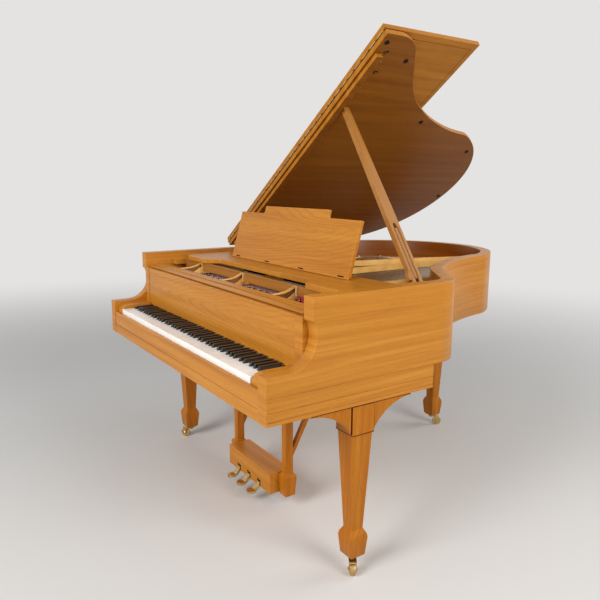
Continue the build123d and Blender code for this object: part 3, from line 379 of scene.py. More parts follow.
# The same coat in dark brown: painted shade for the sides of the struts' crests.
shaded_bronze = metal("iron_cast_bronze_painted_shade", "#6e4519", "#8a5c28", 0.5, 50, 2, 0.25, metallic=0.3)
# Grey wire with a long smooth glint.
steel = metal("steel_drawn_wire", "#968f84", "#bfb7a9", 0.3, 10, 3, 0.03)
# Reddish brown, broken up by the turns of the winding.
copper = metal("copper_winding", "#8e5530", "#b97a4c", 0.35, 8, 1.5, 0.3)
# Dark blue grey, as steel comes out of the tempering oven.
blued = metal("steel_blued_pins", "#34353a", "#62646a", 0.35, 8, 2, 0.05)
print("metals:", [m.name for m in (brass, tarnished, bronze, shaded_bronze, steel, copper, blued)])

# %% [markdown]
# Key coverings, felt and rubber
#
# White keys are covered in moulded acrylic with a soft gloss, and the sharps in a satin black phenolic.
# Pressed felt covers the hammers and the string rests, and shows as a matt, slightly fuzzy surface. The lid
# rests on small black rubber buttons. All of them are even materials, so the recipe of the metals serves.

# %% Acrylic, phenolic, felt and rubber
def moulded(name, low, high, rough, cloud, ior, sheen=0.0, pebble=3.0, depth=0.02, gloss=0.5):
    """The haze drifts less than on a metal. sheen is the fuzz of felt."""
    sockets = {"IOR": ior, "Sheen Weight": sheen, "Specular IOR Level": gloss}
    return clouded(name, low, high, (rough * 0.8, rough * 1.25), cloud, 3.0, pebble, depth, sockets)


# Warm white, smooth enough to mirror a window.
acrylic = moulded("acrylic_key_white", "#f3f0e9", "#faf8f3", 0.22, 40, 1.49)
# Black with a broad satin highlight.
phenolic = moulded("phenolic_key_black", "#0d0b0a", "#1b1816", 0.3, 25, 1.6)
# Cream and matt, with a soft edge of fibres.
white_felt = moulded("felt_pressed_white", "#cfc7b4", "#e4dece", 0.9, 6, 1.4, 0.4, 1.2, 0.5, 0.1)
# Deep red and matt.
red_felt = moulded("felt_pressed_red", "#7d1420", "#a32030", 0.9, 6, 1.4, 0.3, 1.2, 0.5, 0.1)
# Black and nearly without a highlight.
rubber = moulded("rubber_black", "#0d0c0c", "#1a1918", 0.7, 8, 1.52, 0.0, 1.5, 0.2, 0.15)
print("coverings:", [m.name for m in (acrylic, phenolic, white_felt, red_felt, rubber)])

# %% [markdown]
# Finish for every node
#
# Each node of the solid model takes the finish of the real piece. The grain follows how the piece was cut:
# round the rim, towards the tail on the lid, across on the fallboard and desk, and upright on legs. The
# finishes could be set node by node, but a table shows at a glance which pieces share one.

# %% Assign the finishes
NATURALS = "keys_c keys_d keys_e keys_f keys_g keys_a keys_b"
SHARPS = "keys_c_sharp keys_d_sharp keys_f_sharp keys_g_sharp keys_a_sharp"
PEDALS = "soft_pedal sostenuto_pedal sustain_pedal"
FORKS = "treble_caster_fork bass_caster_fork rear_caster_fork"
WHEELS = "treble_caster_wheel bass_caster_wheel rear_caster_wheel"
LEGS = "treble_front_leg bass_front_leg rear_leg"
finishes = {
    rim_walnut_painted_shade: "outer_rim",
    rim_walnut: "inner_rim base_rails desk_rails key_blocks",
    rail_walnut: "key_slip key_bed stretcher pedal_box desk_strut",
    tray_walnut: "desk_tray",
    fall_walnut: "fallboard",
    desk_walnut: "music_desk",
    lid_walnut: "lid",
    flap_walnut: "lid_flap",
    leg_walnut: f"{LEGS} lyre_frame lyre_braces",
    prop_walnut: "prop_stick half_stick",
    beech: "back_braces key_frame hammer_rail",
    spruce: "soundboard",
    maple: "bridges pin_block",
    bronze: "iron_plate",
    blued: "tuning_pins",
    steel: "plain_strings",
    copper: "bass_strings",
    ebonised: "dampers",
    white_felt: "hammers",
    rubber: "lid_bumpers",
    brass: f"lid_brass lid_hinge_leaves prop_bracket {PEDALS} {FORKS} {WHEELS}",
    acrylic: NATURALS,
    phenolic: SHARPS,
}
for finish, names in finishes.items():
    for name in names.split():
        nodes[name].data.materials.clear()
        nodes[name].data.materials.append(finish)
print("finished nodes:", sum(len(names.split()) for names in finishes.values()))

# %% [markdown]
# Eased edges
#
# Every edge of a fine cabinet is eased, and the thin line of light along it tells the eye that it is wood.
# The mesh itself could be reworked, but a weld and a bevel modifier round the edges of a solid without
# touching its points. Large pieces are first joined into one face for each plane, because slivers of
# triangles shade as streaks. Rounding follows the real piece: about 2 mm on the case, 0.7 mm on keys.

# %% Bevels
SAME_POINT = 0.01
SAME_PLANE = 0.3
SHARP_EDGE = 40
LARGE_PIECE = 1.5  # pieces that are eased by this much or more get one face for each plane


def ease(thing, width):
    """Round the sharp edges of a piece."""
    bevel = thing.modifiers.new("ease", "BEVEL")
    bevel.width = width * MM
    bevel.segments = 2
    bevel.limit_method = "ANGLE"
    bevel.angle_limit = radians(SHARP_EDGE)
    return bevel


eased = {
    2.0: f"outer_rim lid lid_flap fallboard {LEGS} pedal_box",
    1.5: "base_rails key_slip key_blocks stretcher lyre_frame lyre_braces prop_stick music_desk desk_tray",
    1.0: f"half_stick desk_strut desk_rails {PEDALS} iron_plate",
    3.0: WHEELS,
    0.7: f"{NATURALS} {SHARPS}",
}
for width, names in eased.items():
    for name in names.split():
        weld = nodes[name].modifiers.new("weld", "WELD")
        weld.merge_threshold = SAME_POINT * MM
        if width >= LARGE_PIECE:
            flat = nodes[name].modifiers.new("one_face_per_plane", "DECIMATE")
            flat.decimate_type = "DISSOLVE"
            flat.angle_limit = radians(SAME_PLANE)
        ease(nodes[name], width).harden_normals = True
print("eased nodes:", sum(len(names.split()) for names in eased.values()))

# %% [markdown]
# Tools for the small fittings
#
# Screws, pins, knuckles and bolts are turned on a lathe, and rails and felts are sawn or cut from sheet.
# Small builders cover both: one spins a profile about an axis, one thickens an outline, one makes a block
# between two corners, and one cuts a slotted screw head. Another gives a finished mesh its material, its
# eased edges and the body that it moves with. The last two find the places of solids that a fitting sits on.

# %% Builders for fittings
def lathe(shape, base, axis, profile, sides=12):
    """Turned piece. profile is (height, radius) pairs along the axis."""
    axis = Vector(axis).normalized()
    side = axis.orthogonal().normalized()
    other = axis.cross(side)
    turns = [2 * pi * i / sides for i in range(sides)]
    rings = []
    for height, radius in profile:
        middle = Vector(base) + axis * height
        spots = [middle + (side * cos(t) + other * sin(t)) * radius for t in turns]
        rings.append([shape.verts.new(spot * MM) for spot in spots])
    for low, high in zip(rings, rings[1:]):
        for i in range(sides):
            j = (i + 1) % sides
            shape.faces.new((low[i], low[j], high[j], high[i]))
    shape.faces.new(rings[0])
    shape.faces.new(rings[-1])


def slab(shape, points, thick):
    """Outline of points in a plane, thickened by a vector."""
    near = [shape.verts.new(p * MM) for p in points]
    far = [shape.verts.new((p + thick) * MM) for p in points]
    for i in range(len(points)):
        shape.faces.new((near[i - 1], near[i], far[i], far[i - 1]))
    shape.faces.new(near)
    shape.faces.new(far)


def block(shape, low, high, place=Matrix()):
    """Block between two corners, put in place by a matrix."""
    plan = [(low[0], low[1]), (high[0], low[1]), (high[0], high[1]), (low[0], high[1])]
    outline = [place @ Vector((x, y, low[2])) for x, y in plan]
    slab(shape, outline, place.to_3x3() @ Z * (high[2] - low[2]))


def screw(shape, base, axis, radius):
    """Flat screw head in two halves, with its slot left between them."""
    half_slot, head = radius * 0.12, radius * 0.35
    side = axis.orthogonal().normalized()
    other = axis.cross(side)
    for way in (-1, 1):
        turns = [radians(a) for a in range(0, 181, 20)]
        reach = [(radius * cos(t), half_slot + (radius - half_slot) * sin(t)) for t in turns]
        slab(shape, [base + side * a + other * way * b for a, b in reach], axis * head)


print("lathe, slab, block and screw ready")

# %% Pieces, and places on the solids
def fitting(name, shape, finish, body, easing=0.0, smooth=40):
    """Make a piece of the mesh, with edges under the angle smooth shaded as round."""
    bmesh.ops.recalc_face_normals(shape, faces=shape.faces)
    mesh = bpy.data.meshes.new(name)
    shape.to_mesh(mesh)
    shape.free()
    mesh.polygons.foreach_set("use_smooth", [True] * len(mesh.polygons))
    mesh.set_sharp_from_angle(angle=radians(smooth))
    mesh.materials.append(finish)
    thing = bpy.data.objects.new(name, mesh)
    bpy.context.scene.collection.objects.link(thing)
    if easing:
        ease(thing, easing)
    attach(thing, body)
    return thing


def separate(name):
    """Points of each loose solid in a node."""
    shape = bmesh.new()
    shape.from_mesh(nodes[name].data)
    bmesh.ops.remove_doubles(shape, verts=shape.verts, dist=SAME_POINT * MM)
    seen, solids = set(), []
    for first in shape.verts:
        edge, points = [first], []
        while edge:
            spot = edge.pop()
            if spot not in seen:
                seen.add(spot)
                points.append(spot.co / MM)
                edge += [line.other_vert(spot) for line in spot.link_edges]
        if points:
            solids.append(points)
    shape.free()
    return solids


def extent(points):
    """Lowest and highest corner of some points."""
    return [Vector([pick(p[i] for p in points) for i in range(3)]) for pick in (min, max)]


print("fitting, separate and extent ready")

# %% [markdown]
# Inside the case: strings, pins and felt
#
# Each plain note on a piano has three strings, a tuning pin with a neat coil of wire and a hitch pin at the
# far end. The solid model carries one string for each note. Copies set a few millimetres to each side make
# the unisons, and the coils and hitch pins are found from the ends of the modelled strings and pins, so that
# they sit where the solids are.

# %% Unison strings
UNISON_GAP = 2.3
unisons = bmesh.new()
for offset in (-UNISON_GAP, UNISON_GAP):
    before = len(unisons.verts)
    unisons.from_mesh(nodes["plain_strings"].data)
    unisons.verts.ensure_lookup_table()
    bmesh.ops.translate(unisons, verts=unisons.verts[before:], vec=X * offset * MM)
fitting("unison_strings", unisons, steel, "case", smooth=70)
print("strings beside each plain string: 2")

# %% Tuning pins and their coils
PIN = [(0, 3.4), (9.4, 3.4), (10, 3.0)]
SQUARE_HEAD = [(9.9, 3.2), (15.4, 2.5), (16, 2.0)]
COIL_TURN = [(0, 3.4), (0.5, 4.2), (1.4, 4.2), (1.9, 3.4)]
COIL_START, COIL_STEP, COIL_TURNS = 3.0, 1.9, 3
pins, coils = bmesh.new(), bmesh.new()
pin_solids = separate("tuning_pins")
for points in pin_solids:
    base = sum(points, Vector()) / len(points)
    base.z = min(p.z for p in points)
    lathe(pins, base, Z, PIN, 10)
    lathe(pins, base, Z, SQUARE_HEAD, 4)
    for turn in range(COIL_TURNS):
        lathe(coils, base + Z * (COIL_START + COIL_STEP * turn), Z, COIL_TURN, 10)
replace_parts(fitting("square_headed_pins", pins, steel, "case"), "tuning_pins")
fitting("pin_coils", coils, blued, "case")
print("tuning pins:", len(pin_solids))

# %% Hitch pins
PLATE = 893  # height of the iron plate's upper face
HITCH_OVER_STRING = 4
hitch_reach = {"plain_strings": 5.0, "bass_strings": 8.0}
strings = [(points, reach) for name, reach in hitch_reach.items() for points in separate(name)]
hitch = bmesh.new()
for points, reach in strings:
    # Sorted in all three directions, so that every run picks the same corner of a string's end.
    points.sort(key=lambda p: (p.y, p.x, p.z))
    start, end = points[0], points[-1]
    base = end + (end - start).normalized() * reach
    base.z = PLATE
    tall = end.z - PLATE + HITCH_OVER_STRING
    lathe(hitch, base, Z, [(0, 1.8), (tall, 1.6), (tall + 0.8, 1.0)], 8)
fitting("hitch_pins", hitch, steel, "case")
print("hitch pins:", len(strings))

# %% [markdown]
# Felt on the plate
#
# Red felt lies round the treble and bass pins, stands in a strip behind them, and runs along the hitch rail,
# where it quiets the short dead ends of the strings. The strip along the hitch rail has to follow the curved
# case. It could be traced from the solid's mesh, but a short walk of straight runs and arcs, the same as the
# case's own, gives points at any distance inside it.

# %% The case line
HALF = corners("outer_rim")[1].x
# Straight runs, and arcs that turn to the bass side, or away from it where the angle is negative.
CASE_WALK = ((709, 0), (126, 54.0), (167, 0), (536, -19.6), (1047, -26.5), (120, 16.2))


def case_line(inset, spacing=25):
    """Points inside the case's edge from the treble arm round to the bass arm, with outward directions."""
    spot, heading, points = Vector((HALF - inset, 0)), 0.0, []

    def ahead(length):
        nonlocal spot
        way = Vector((-sin(heading), cos(heading)))
        steps = max(1, round(length / spacing))
        points.extend((spot + way * length * i / steps, heading) for i in range(steps))
        spot = spot + way * length

    def bend(radius, angle):
        nonlocal spot, heading
        arm = radius if angle > 0 else -radius
        middle = spot - Vector((cos(heading), sin(heading))) * arm
        steps = max(2, round(abs(angle) * radius / spacing))
        turns = [heading + angle * i / steps for i in range(steps)]
        points.extend((middle + Vector((cos(t), sin(t))) * arm, t) for t in turns)
        heading += angle
        spot = middle + Vector((cos(heading), sin(heading))) * arm

    for size, turn in CASE_WALK:
        if turn:
            bend(size - inset if turn > 0 else size + inset, radians(turn))
        else:
            ahead(size)
    bend((spot.x + HALF - inset) / (1 + cos(heading)), pi - heading)
    ahead(spot.y)
    return [(p, Vector((cos(h), sin(h)))) for p, h in points]


def case_strip(shape, inset, width, low, high, first, last):
    """Flat strip along the case, from where the walk passes first along y to where it comes back to last."""
    line = case_line(inset)
    start = next(i for i, (p, _) in enumerate(line) if p.y > first)
    end = max(i for i, (p, _) in enumerate(line) if p.y > last)
    outer = [p for p, _ in line[start:end]]
    inner = [p - out * width for p, out in line[start:end]]
    edge = outer + inner[::-1]
    rings = [[shape.verts.new(Vector((p.x, p.y, z)) * MM) for p in edge] for z in (low, high)]
    for i in range(len(outer) - 1):
        for ring in rings:
            shape.faces.new((ring[i], ring[i + 1], ring[-i - 2], ring[-i - 1]))
    low_ring, high_ring = rings
    for i in range(len(edge)):
        shape.faces.new((low_ring[i - 1], low_ring[i], high_ring[i], high_ring[i - 1]))


print("points on the case line:", len(case_line(0)))

# %% Felt
FELT_LOW, FELT_TOP = PLATE + 0.1, PLATE + 1.7
STANDING_LOW, STANDING_TOP = PLATE + 1.5, PLATE + 24
PIN_FRONT, PIN_BACK = 268, 350
REST_FRONT, REST_BACK = 353, 402
STANDING_FRONT, STANDING_BACK = 349.2, 351.6
HITCH_INSET, HITCH_WIDTH, HITCH_FROM, HITCH_TO = 90, 18, 620, 1050
lying = [(low, REST_FRONT, high, REST_BACK) for low, high in ((-435, -72), (-50, 331), (353, 662))]
lying += [(low, PIN_FRONT, high, PIN_BACK) for low, high in ((353, 662), (-660, -492))]
standing = [(low, STANDING_FRONT, high, STANDING_BACK) for low, high in ((366, 638), (-638, -476))]
felt = bmesh.new()
case_strip(felt, HITCH_INSET, HITCH_WIDTH, FELT_LOW, FELT_TOP, HITCH_FROM, HITCH_TO)
for sheets, low, high in ((lying, FELT_LOW, FELT_TOP), (standing, STANDING_LOW, STANDING_TOP)):
    for left, front, right, back in sheets:
        block(felt, (left, front, low), (right, back, high))
fitting("stringing_felt", felt, red_felt, "case")
print("felt sheets:", 1 + len(lying) + len(standing))

# %% [markdown]
# Bars and bolts of the iron plate
#
# Behind the pins a cast bar presses down on the plain strings and ends their speaking length. It stops at
# each strut, as the casting does. Domed bolts hold the plate to the rim every hand's breadth or so. The bar
# could be a row of blocks, but one section drawn out between the struts keeps its rounded back. The bolts
# stand on the case line, so that they follow the rim.

# %% Pressure bars and plate bolts
BAR_FRONT, BAR_BACK, BAR_TOP, BAR_PRESSES = 418, 434, 918, 897.2
bar_section = [
    (BAR_FRONT, 900), (422.5, BAR_PRESSES), (428.5, BAR_PRESSES), (BAR_BACK, 902),
    (BAR_BACK, 912), (430, BAR_TOP), (422, BAR_TOP), (BAR_FRONT, 912),
]
BAR_END, END_FOOT, END_FOOT_TOP = 664, 12, 906
bar_spans = ((-436.5, -68.2), (-53.8, 334.8), (349.2, BAR_END))
bars = bmesh.new()
for low, high in bar_spans:
    slab(bars, [Vector((low, y, z)) for y, z in bar_section], X * (high - low))
block(bars, (BAR_END - END_FOOT, BAR_FRONT, PLATE), (BAR_END, BAR_BACK, END_FOOT_TOP))
fitting("pressure_bars", bars, bronze, "case", easing=1.0)

BOLT = [(0, 11), (1.5, 11), (1.5, 8), (5, 7), (6.5, 4)]
BOLT_INSET, BOLT_SPACING, FIRST_BOLT = 72, 130, 660
bolts = bmesh.new()
bolt_spots = [p for p, _ in case_line(BOLT_INSET, BOLT_SPACING) if p.y > FIRST_BOLT]
for p in bolt_spots:
    lathe(bolts, (p.x, p.y, PLATE), Z, BOLT)
fitting("plate_bolts", bolts, brass, "case")
print("pressure bars:", len(bar_spans), "plate bolts:", len(bolt_spots))

# %% [markdown]
# Rail under the music desk's tray
#
# A narrow walnut rail crosses the case under the tray's front, cut out over the plate's struts. It closes
# the view from the keyboard to the strings. It joins the two side rails, so it stays with the case when the
# tray slides. The notches could be cut from a block, but one outline that has them, thickened, is simpler.

# %% Cross rail
STRUTS = (-459.8, -61, 342)
RAIL_FRONT, RAIL_THICK, RAIL_END = 352, 14, 638.8
RAIL_LOW, RAIL_TOP, NOTCH_TOP, HALF_NOTCH = 912.5, 949.2, 932.5, 13
outline = [(-RAIL_END, RAIL_LOW)]
for x in STRUTS:
    left, right = x - HALF_NOTCH, x + HALF_NOTCH
    outline += [(left, RAIL_LOW), (left, NOTCH_TOP), (right, NOTCH_TOP), (right, RAIL_LOW)]
outline += [(RAIL_END, RAIL_LOW), (RAIL_END, RAIL_TOP), (-RAIL_END, RAIL_TOP)]
rail = bmesh.new()
slab(rail, [Vector((x, RAIL_FRONT, z)) for x, z in outline], Y * RAIL_THICK)
# The rail's darker grey brown is painted shade.
fitting("desk_cross_rail", rail, shaded_rail_walnut, "case", easing=0.8)
print("notches in the rail:", len(STRUTS))

# %% [markdown]
# Tray of the music desk
#
# The tray is one veneered board. Its front is cut back at the middle, so that the pins can be reached for
# tuning, and comes forward in a rounded wing at each end. The solid has the same board with a shallower cut.
# Here the board is drawn again with the curves sampled finely, and stands in for the solid.

# %% Tray
MIDDLE_FRONT, WING_FRONT, MIDDLE_HALF, TRAY_CURVE, TRAY_THICK = 408, 342, 355, 75, 20
BARREL_SPOTS, BARREL_LENGTH, BARREL_RADIUS, BARREL_ROOT = (-430, -150, 130, 400), 40, 2.5, 1
tray_low, tray_high = corners("desk_tray")
desk_axis = pivot("desk_hinge")
tray_top = tray_low.z + TRAY_THICK
between, rise = (MIDDLE_FRONT + WING_FRONT) / 2, (MIDDLE_FRONT - WING_FRONT) / 2
half_front = [(0, MIDDLE_FRONT), (MIDDLE_HALF, MIDDLE_FRONT)]
for i in range(1, 9):
    half_front.append((MIDDLE_HALF + TRAY_CURVE * i / 8, between + rise * cos(pi * i / 8)))
for i in range(11):
    turn = pi / 2 * i / 10
    corner_x, corner_y = tray_high.x - TRAY_CURVE, WING_FRONT + TRAY_CURVE
    half_front.append((corner_x + TRAY_CURVE * sin(turn), corner_y - TRAY_CURVE * cos(turn)))
half_front.append((tray_high.x, tray_high.y))
board = [Vector((x, y, tray_low.z)) for x, y in half_front]
board += [Vector((-x, y, tray_low.z)) for x, y in reversed(half_front[1:])]
tray = bmesh.new()
slab(tray, board, Z * TRAY_THICK)
for x in BARREL_SPOTS:
    lathe(tray, (x, desk_axis.y, desk_axis.z), X, [(0, BARREL_RADIUS), (BARREL_LENGTH, BARREL_RADIUS)])
    root = (x, desk_axis.y - BARREL_RADIUS / 2, tray_top - BARREL_ROOT)
    block(tray, root, (x + BARREL_LENGTH, desk_axis.y + BARREL_RADIUS / 2, desk_axis.z))
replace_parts(fitting("shaped_tray", tray, tray_walnut, "tray_body", easing=1.5), "desk_tray")
print("points round the tray:", len(board))

# %% [markdown]
# Posts beside the struts
#
# A slim post of maple stands against the front of the cross rail at the treble side of each notch. It could
# be part of the rail's outline, but it is a planed stick of another wood, so each one is an eased block.

# %% Posts
POST_GAP, POST_WIDTH, POST_THICK = 13.2, 9, 7.5
posts = bmesh.new()
for x in STRUTS:
    left = x + POST_GAP
    block(posts, (left, RAIL_FRONT - POST_THICK, RAIL_LOW), (left + POST_WIDTH, RAIL_FRONT, RAIL_TOP))
fitting("cross_rail_posts", posts, maple, "case", easing=0.6)
print("posts:", len(STRUTS))

# %% [markdown]
# Crests of the struts
#
# Where the plate's struts come forward over the pins, the casting rises in a curve to meet the rail, with
# two thin flanges along its top that catch the light. The curve is drawn once from the side, shifted
# sideways where a strut runs at a slant, and thickened for the crest and again for each flange.

# %% Strut crests
CREST_WIDTH, CREST_DROP, CREST_FOOT = 12, 2, PLATE + 0.5
FLANGE_WIDTH, FLANGE_THICK, FLANGES = 3, 3, (-7.5, 4.5)
SLANT_FROM = 262
sweep = [(252, 927), (280, 927.5), (305, 930), (325, 935.5), (340, 942.5), (351.5, 949)]
crest_spots = ((-484, 14.0), (-61, 0.0), (342, 0.0))
crests, flanges = bmesh.new(), bmesh.new()
for x, lean_out in crest_spots:
    curve = [Vector((x + (y - SLANT_FROM) * sin(radians(lean_out)), y, z)) for y, z in sweep]
    feet = [Vector((p.x, p.y, CREST_FOOT)) for p in (curve[-1], curve[0])]
    outline = [p - Z * CREST_DROP for p in curve] + feet
    slab(crests, [p - X * CREST_WIDTH / 2 for p in outline], X * CREST_WIDTH)
    for side in FLANGES:
        top_line = [p + X * side for p in curve]
        slab(flanges, top_line + [p - Z * FLANGE_THICK for p in reversed(top_line)], X * FLANGE_WIDTH)
# The crests' dark brown is painted shade; the flanges keep the light gold.
fitting("strut_crests", crests, shaded_bronze, "case")
fitting("strut_flanges", flanges, bronze, "case")
print("crests:", len(crest_spots))

# %% [markdown]
# Ledge over the fallboard
#
# Two strips cap the stretcher. The back one is square and runs from cheek to cheek. The front one is lower,
# has a rounded nose that shades the top of the fallboard, and stops short of the cheeks, which leaves a dark
# gap at each end. Their undersides are a little above the arc that the fallboard's back corner follows, so
# the fallboard can fold out under them. The front one could be a block with a large bevel, but a section
# drawn out along the stretcher gives the nose its own curve.

# %% Stretcher ledge
NOSE_END, LEDGE_END = 657, 680.8
LEDGE_LOW, NOSE_LOW, NOSE_TOP, LEDGE_TOP = 917.2, 918.5, 925.7, 930.5
NOSE_ROOT, NOSE_BACK, LEDGE_FRONT = 188, 208.5, 210.5
stretcher_back = corners("stretcher")[1].y
round_nose = [(179.5, NOSE_LOW), (176.8, 919.6), (175.8, 922.1), (176.8, 924.6), (179.5, NOSE_TOP)]
nose = [(NOSE_ROOT, LEDGE_LOW), (NOSE_ROOT, NOSE_LOW), *round_nose]
nose += [(NOSE_BACK, NOSE_TOP), (NOSE_BACK, LEDGE_LOW)]
ledge = bmesh.new()
slab(ledge, [Vector((-NOSE_END, y, z)) for y, z in nose], X * 2 * NOSE_END)
block(ledge, (-LEDGE_END, LEDGE_FRONT, LEDGE_LOW), (LEDGE_END, stretcher_back, LEDGE_TOP))
fitting("stretcher_ledge", ledge, rail_walnut, "case", easing=0.8)
print("ledge length:", 2 * LEDGE_END, "mm")

# %% [markdown]
# Damper felts
#
# A damper is a black block on a pad of white felt that rests on the strings. The pad stands a little proud
# of the block all round. The pads could be set out one by one, but each is found from its damper's corners,
# so that it stays under the damper.

# %% Damper pads
PAD_PROUD, PAD_LIFT, PAD_TOP = 0.8, 0.1, 7
pads = bmesh.new()
damper_solids = separate("dampers")
for points in damper_solids:
    low, high = extent(points)
    high.z = low.z + PAD_TOP
    low.z += PAD_LIFT
    proud = Vector((PAD_PROUD, PAD_PROUD, 0))
    block(pads, low - proud, high + proud)
fitting("damper_felts", pads, white_felt, "damper_body", easing=0.6)
print("damper felts:", len(damper_solids))

# %% [markdown]
# Hinges and cups on the lid
#
# The front flap turns on one long piano hinge, whose barrel is a row of short knuckles. Three butt hinges
# carry the lid. Two dished cups under the lid take the head of the prop. All of it is drawn with the lid
# shut, where the numbers are simple, and then swung to the propped angle with one matrix.

# %% Piano hinge of the flap
LID_UNDER = 989
HINGE_START, HINGE_LENGTH, HINGE_Y, HINGE_Z = -731.5, 1471.5, 637.5, 1011.6
CORE_HALF, CORE_LOW, CORE_TOP = 0.9, 1007.5, 1011.2
KNUCKLES, KNUCKLE_START, KNUCKLE_STEP, KNUCKLE = 30, -730, 49, 36
lid_axis = pivot("lid_hinge")
turned = Matrix.Rotation(radians(LID_OPEN), 4, -Y)
swing = Matrix.Translation(lid_axis) @ turned @ Matrix.Translation(-lid_axis)
lid_x, lid_down = turned.to_3x3() @ X, turned.to_3x3() @ -Z
barrel = [(0, 2.6), (0.6, 3.2), (KNUCKLE - 0.6, 3.2), (KNUCKLE, 2.6)]
rod = [(0, 1.4), (1, 2.0), (HINGE_LENGTH - 1, 2.0), (HINGE_LENGTH, 1.4)]
knuckles, hinge_core = bmesh.new(), bmesh.new()
for i in range(KNUCKLES):
    base = Vector((KNUCKLE_START + KNUCKLE_STEP * i, HINGE_Y, HINGE_Z))
    lathe(knuckles, swing @ base, lid_x, barrel)
lathe(hinge_core, swing @ Vector((HINGE_START, HINGE_Y, HINGE_Z)), lid_x, rod)
core_low = (HINGE_START + 0.5, HINGE_Y - CORE_HALF, CORE_LOW)
core_high = (HINGE_START + HINGE_LENGTH - 1, HINGE_Y + CORE_HALF, CORE_TOP)
block(hinge_core, core_low, core_high, swing)
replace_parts(fitting("flap_hinge_knuckles", knuckles, brass, "lid_body"), "lid_brass")
fitting("flap_hinge_core", hinge_core, tarnished, "lid_body")
print("knuckles:", KNUCKLES)

# %% Screws of the lid's hinges
LEAF_X, LEAF_DROP, RIM_SCREW_Z = -HALF + 22, 1.7, 986.7
LEAF_HEAD, RIM_HEAD, UNDER_HEAD = 4, 2, 4.5
lid_hinges, leaf_screws, seat_screws = (700, 900, 1100), (38, 52), (9, 21, 69, 81)
under_screws = ((615.5, 700), (474.5, 699), (182.5, 697))
lid_screws, rim_screws = bmesh.new(), bmesh.new()
for y in lid_hinges:
    for along in leaf_screws:
        base = swing @ Vector((LEAF_X, y + along, LID_UNDER - LEAF_DROP))
        screw(lid_screws, base, lid_down, LEAF_HEAD)
    for along in seat_screws:
        screw(rim_screws, Vector((LEAF_X, y + along, RIM_SCREW_Z)), Z, RIM_HEAD)
for x, y in under_screws:
    screw(lid_screws, swing @ Vector((x, y, LID_UNDER)), lid_down, UNDER_HEAD)
fitting("lid_screws", lid_screws, brass, "lid_body")
fitting("rim_hinge_screws", rim_screws, brass, "case")
print("butt hinges:", len(lid_hinges))

# %% Cups for the prop
DISH = [(-1, 11), (1.2, 11), (2.4, 10), (3.0, 8.4), (2.6, 6.8), (0.8, 5.2), (0.4, 3)]
cup_spots = ((661.5, 692), (563.5, 712))
cups = bmesh.new()
for x, y in cup_spots:
    lathe(cups, swing @ Vector((x, y, LID_UNDER)), lid_down, DISH, 24)
fitting("prop_cups", cups, tarnished, "lid_body")
print("cups under the lid:", len(cup_spots))

# %% [markdown]
# Desk foot and hinge slots
#
# A strip closes the foot of the desk, and dark slots for its hinges show along the strip. Both are drawn on
# an upright desk and leaned back with one matrix. A slot could be cut through the strip. A thin dark tablet
# with round ends, half a millimetre proud, gives the same look: painted shade for the slot's hollow.

# %% Desk foot
DESK_LEAN = 15.5
FOOT_HALF, FOOT_FRONT, FOOT_BACK, FOOT_LOW, FOOT_TOP = 448, -14.8, -8, -5.4, 3.6
SLOT_SPOTS, SLOT_HALF, SLOT_RADIUS, SLOT_THICK = (-392, -127, 138, 405), 16, 2.6, 0.4
SLOT_FRONT, SLOT_Z = -14.9, 1.8
leaned = Matrix.Rotation(radians(-DESK_LEAN), 4, "X")
desk_place = Matrix.Translation(desk_axis) @ leaned
foot_strip = bmesh.new()
block(foot_strip, (-FOOT_HALF, FOOT_FRONT, FOOT_LOW), (FOOT_HALF, FOOT_BACK, FOOT_TOP), desk_place)
fitting("desk_foot", foot_strip, desk_walnut, "desk_body", easing=0.8)
slots = bmesh.new()
ends = [(side, radians(a)) for side in (1, -1) for a in range(-90, 91, 30)]
for x in SLOT_SPOTS:
    rim = [(side * (SLOT_HALF + SLOT_RADIUS * cos(t)), side * SLOT_RADIUS * sin(t)) for side, t in ends]
    outline = [desk_place @ Vector((x + a, SLOT_FRONT, SLOT_Z + b)) for a, b in rim]
    slab(slots, outline, leaned.to_3x3() @ -Y * SLOT_THICK)
fitting("desk_hinge_slots", slots, groove_shade, "desk_body")
print("slots in the desk's foot:", len(SLOT_SPOTS))

# %% [markdown]
# Grooves on the flap and the prop
#
# A fine groove runs along two edges of the flap, and a rounded groove in the prop holds the short stick.
# They could be cut into the wood with a boolean, but the solids stay as they are. Thin dark lines of painted
# shade about a quarter of a millimetre proud are drawn instead, which from a step away look the same.

# %% Groove on the flap
PROUD, SUNK = 0.25, 0.1
GROOVE_MARGIN, GROOVE_WIDTH, GROOVE_START = 27, 1.5, 680
flap_low, flap_high = extent([swing.inverted() @ p for p in separate("lid_flap")[0]])
near_x, near_y = flap_high.x - GROOVE_MARGIN, flap_high.y - GROOVE_MARGIN
low_z, high_z = flap_low.z - PROUD, flap_low.z + SUNK
side_line = (near_x - GROOVE_WIDTH, GROOVE_START)
edge_line = (flap_low.x + GROOVE_MARGIN, near_y - GROOVE_WIDTH)
grooves = bmesh.new()
for left, front in (side_line, edge_line):
    block(grooves, (left, front, low_z), (near_x, near_y, high_z), swing)
fitting("flap_groove", grooves, groove_shade, "flap_body")
print("groove on the flap drawn")

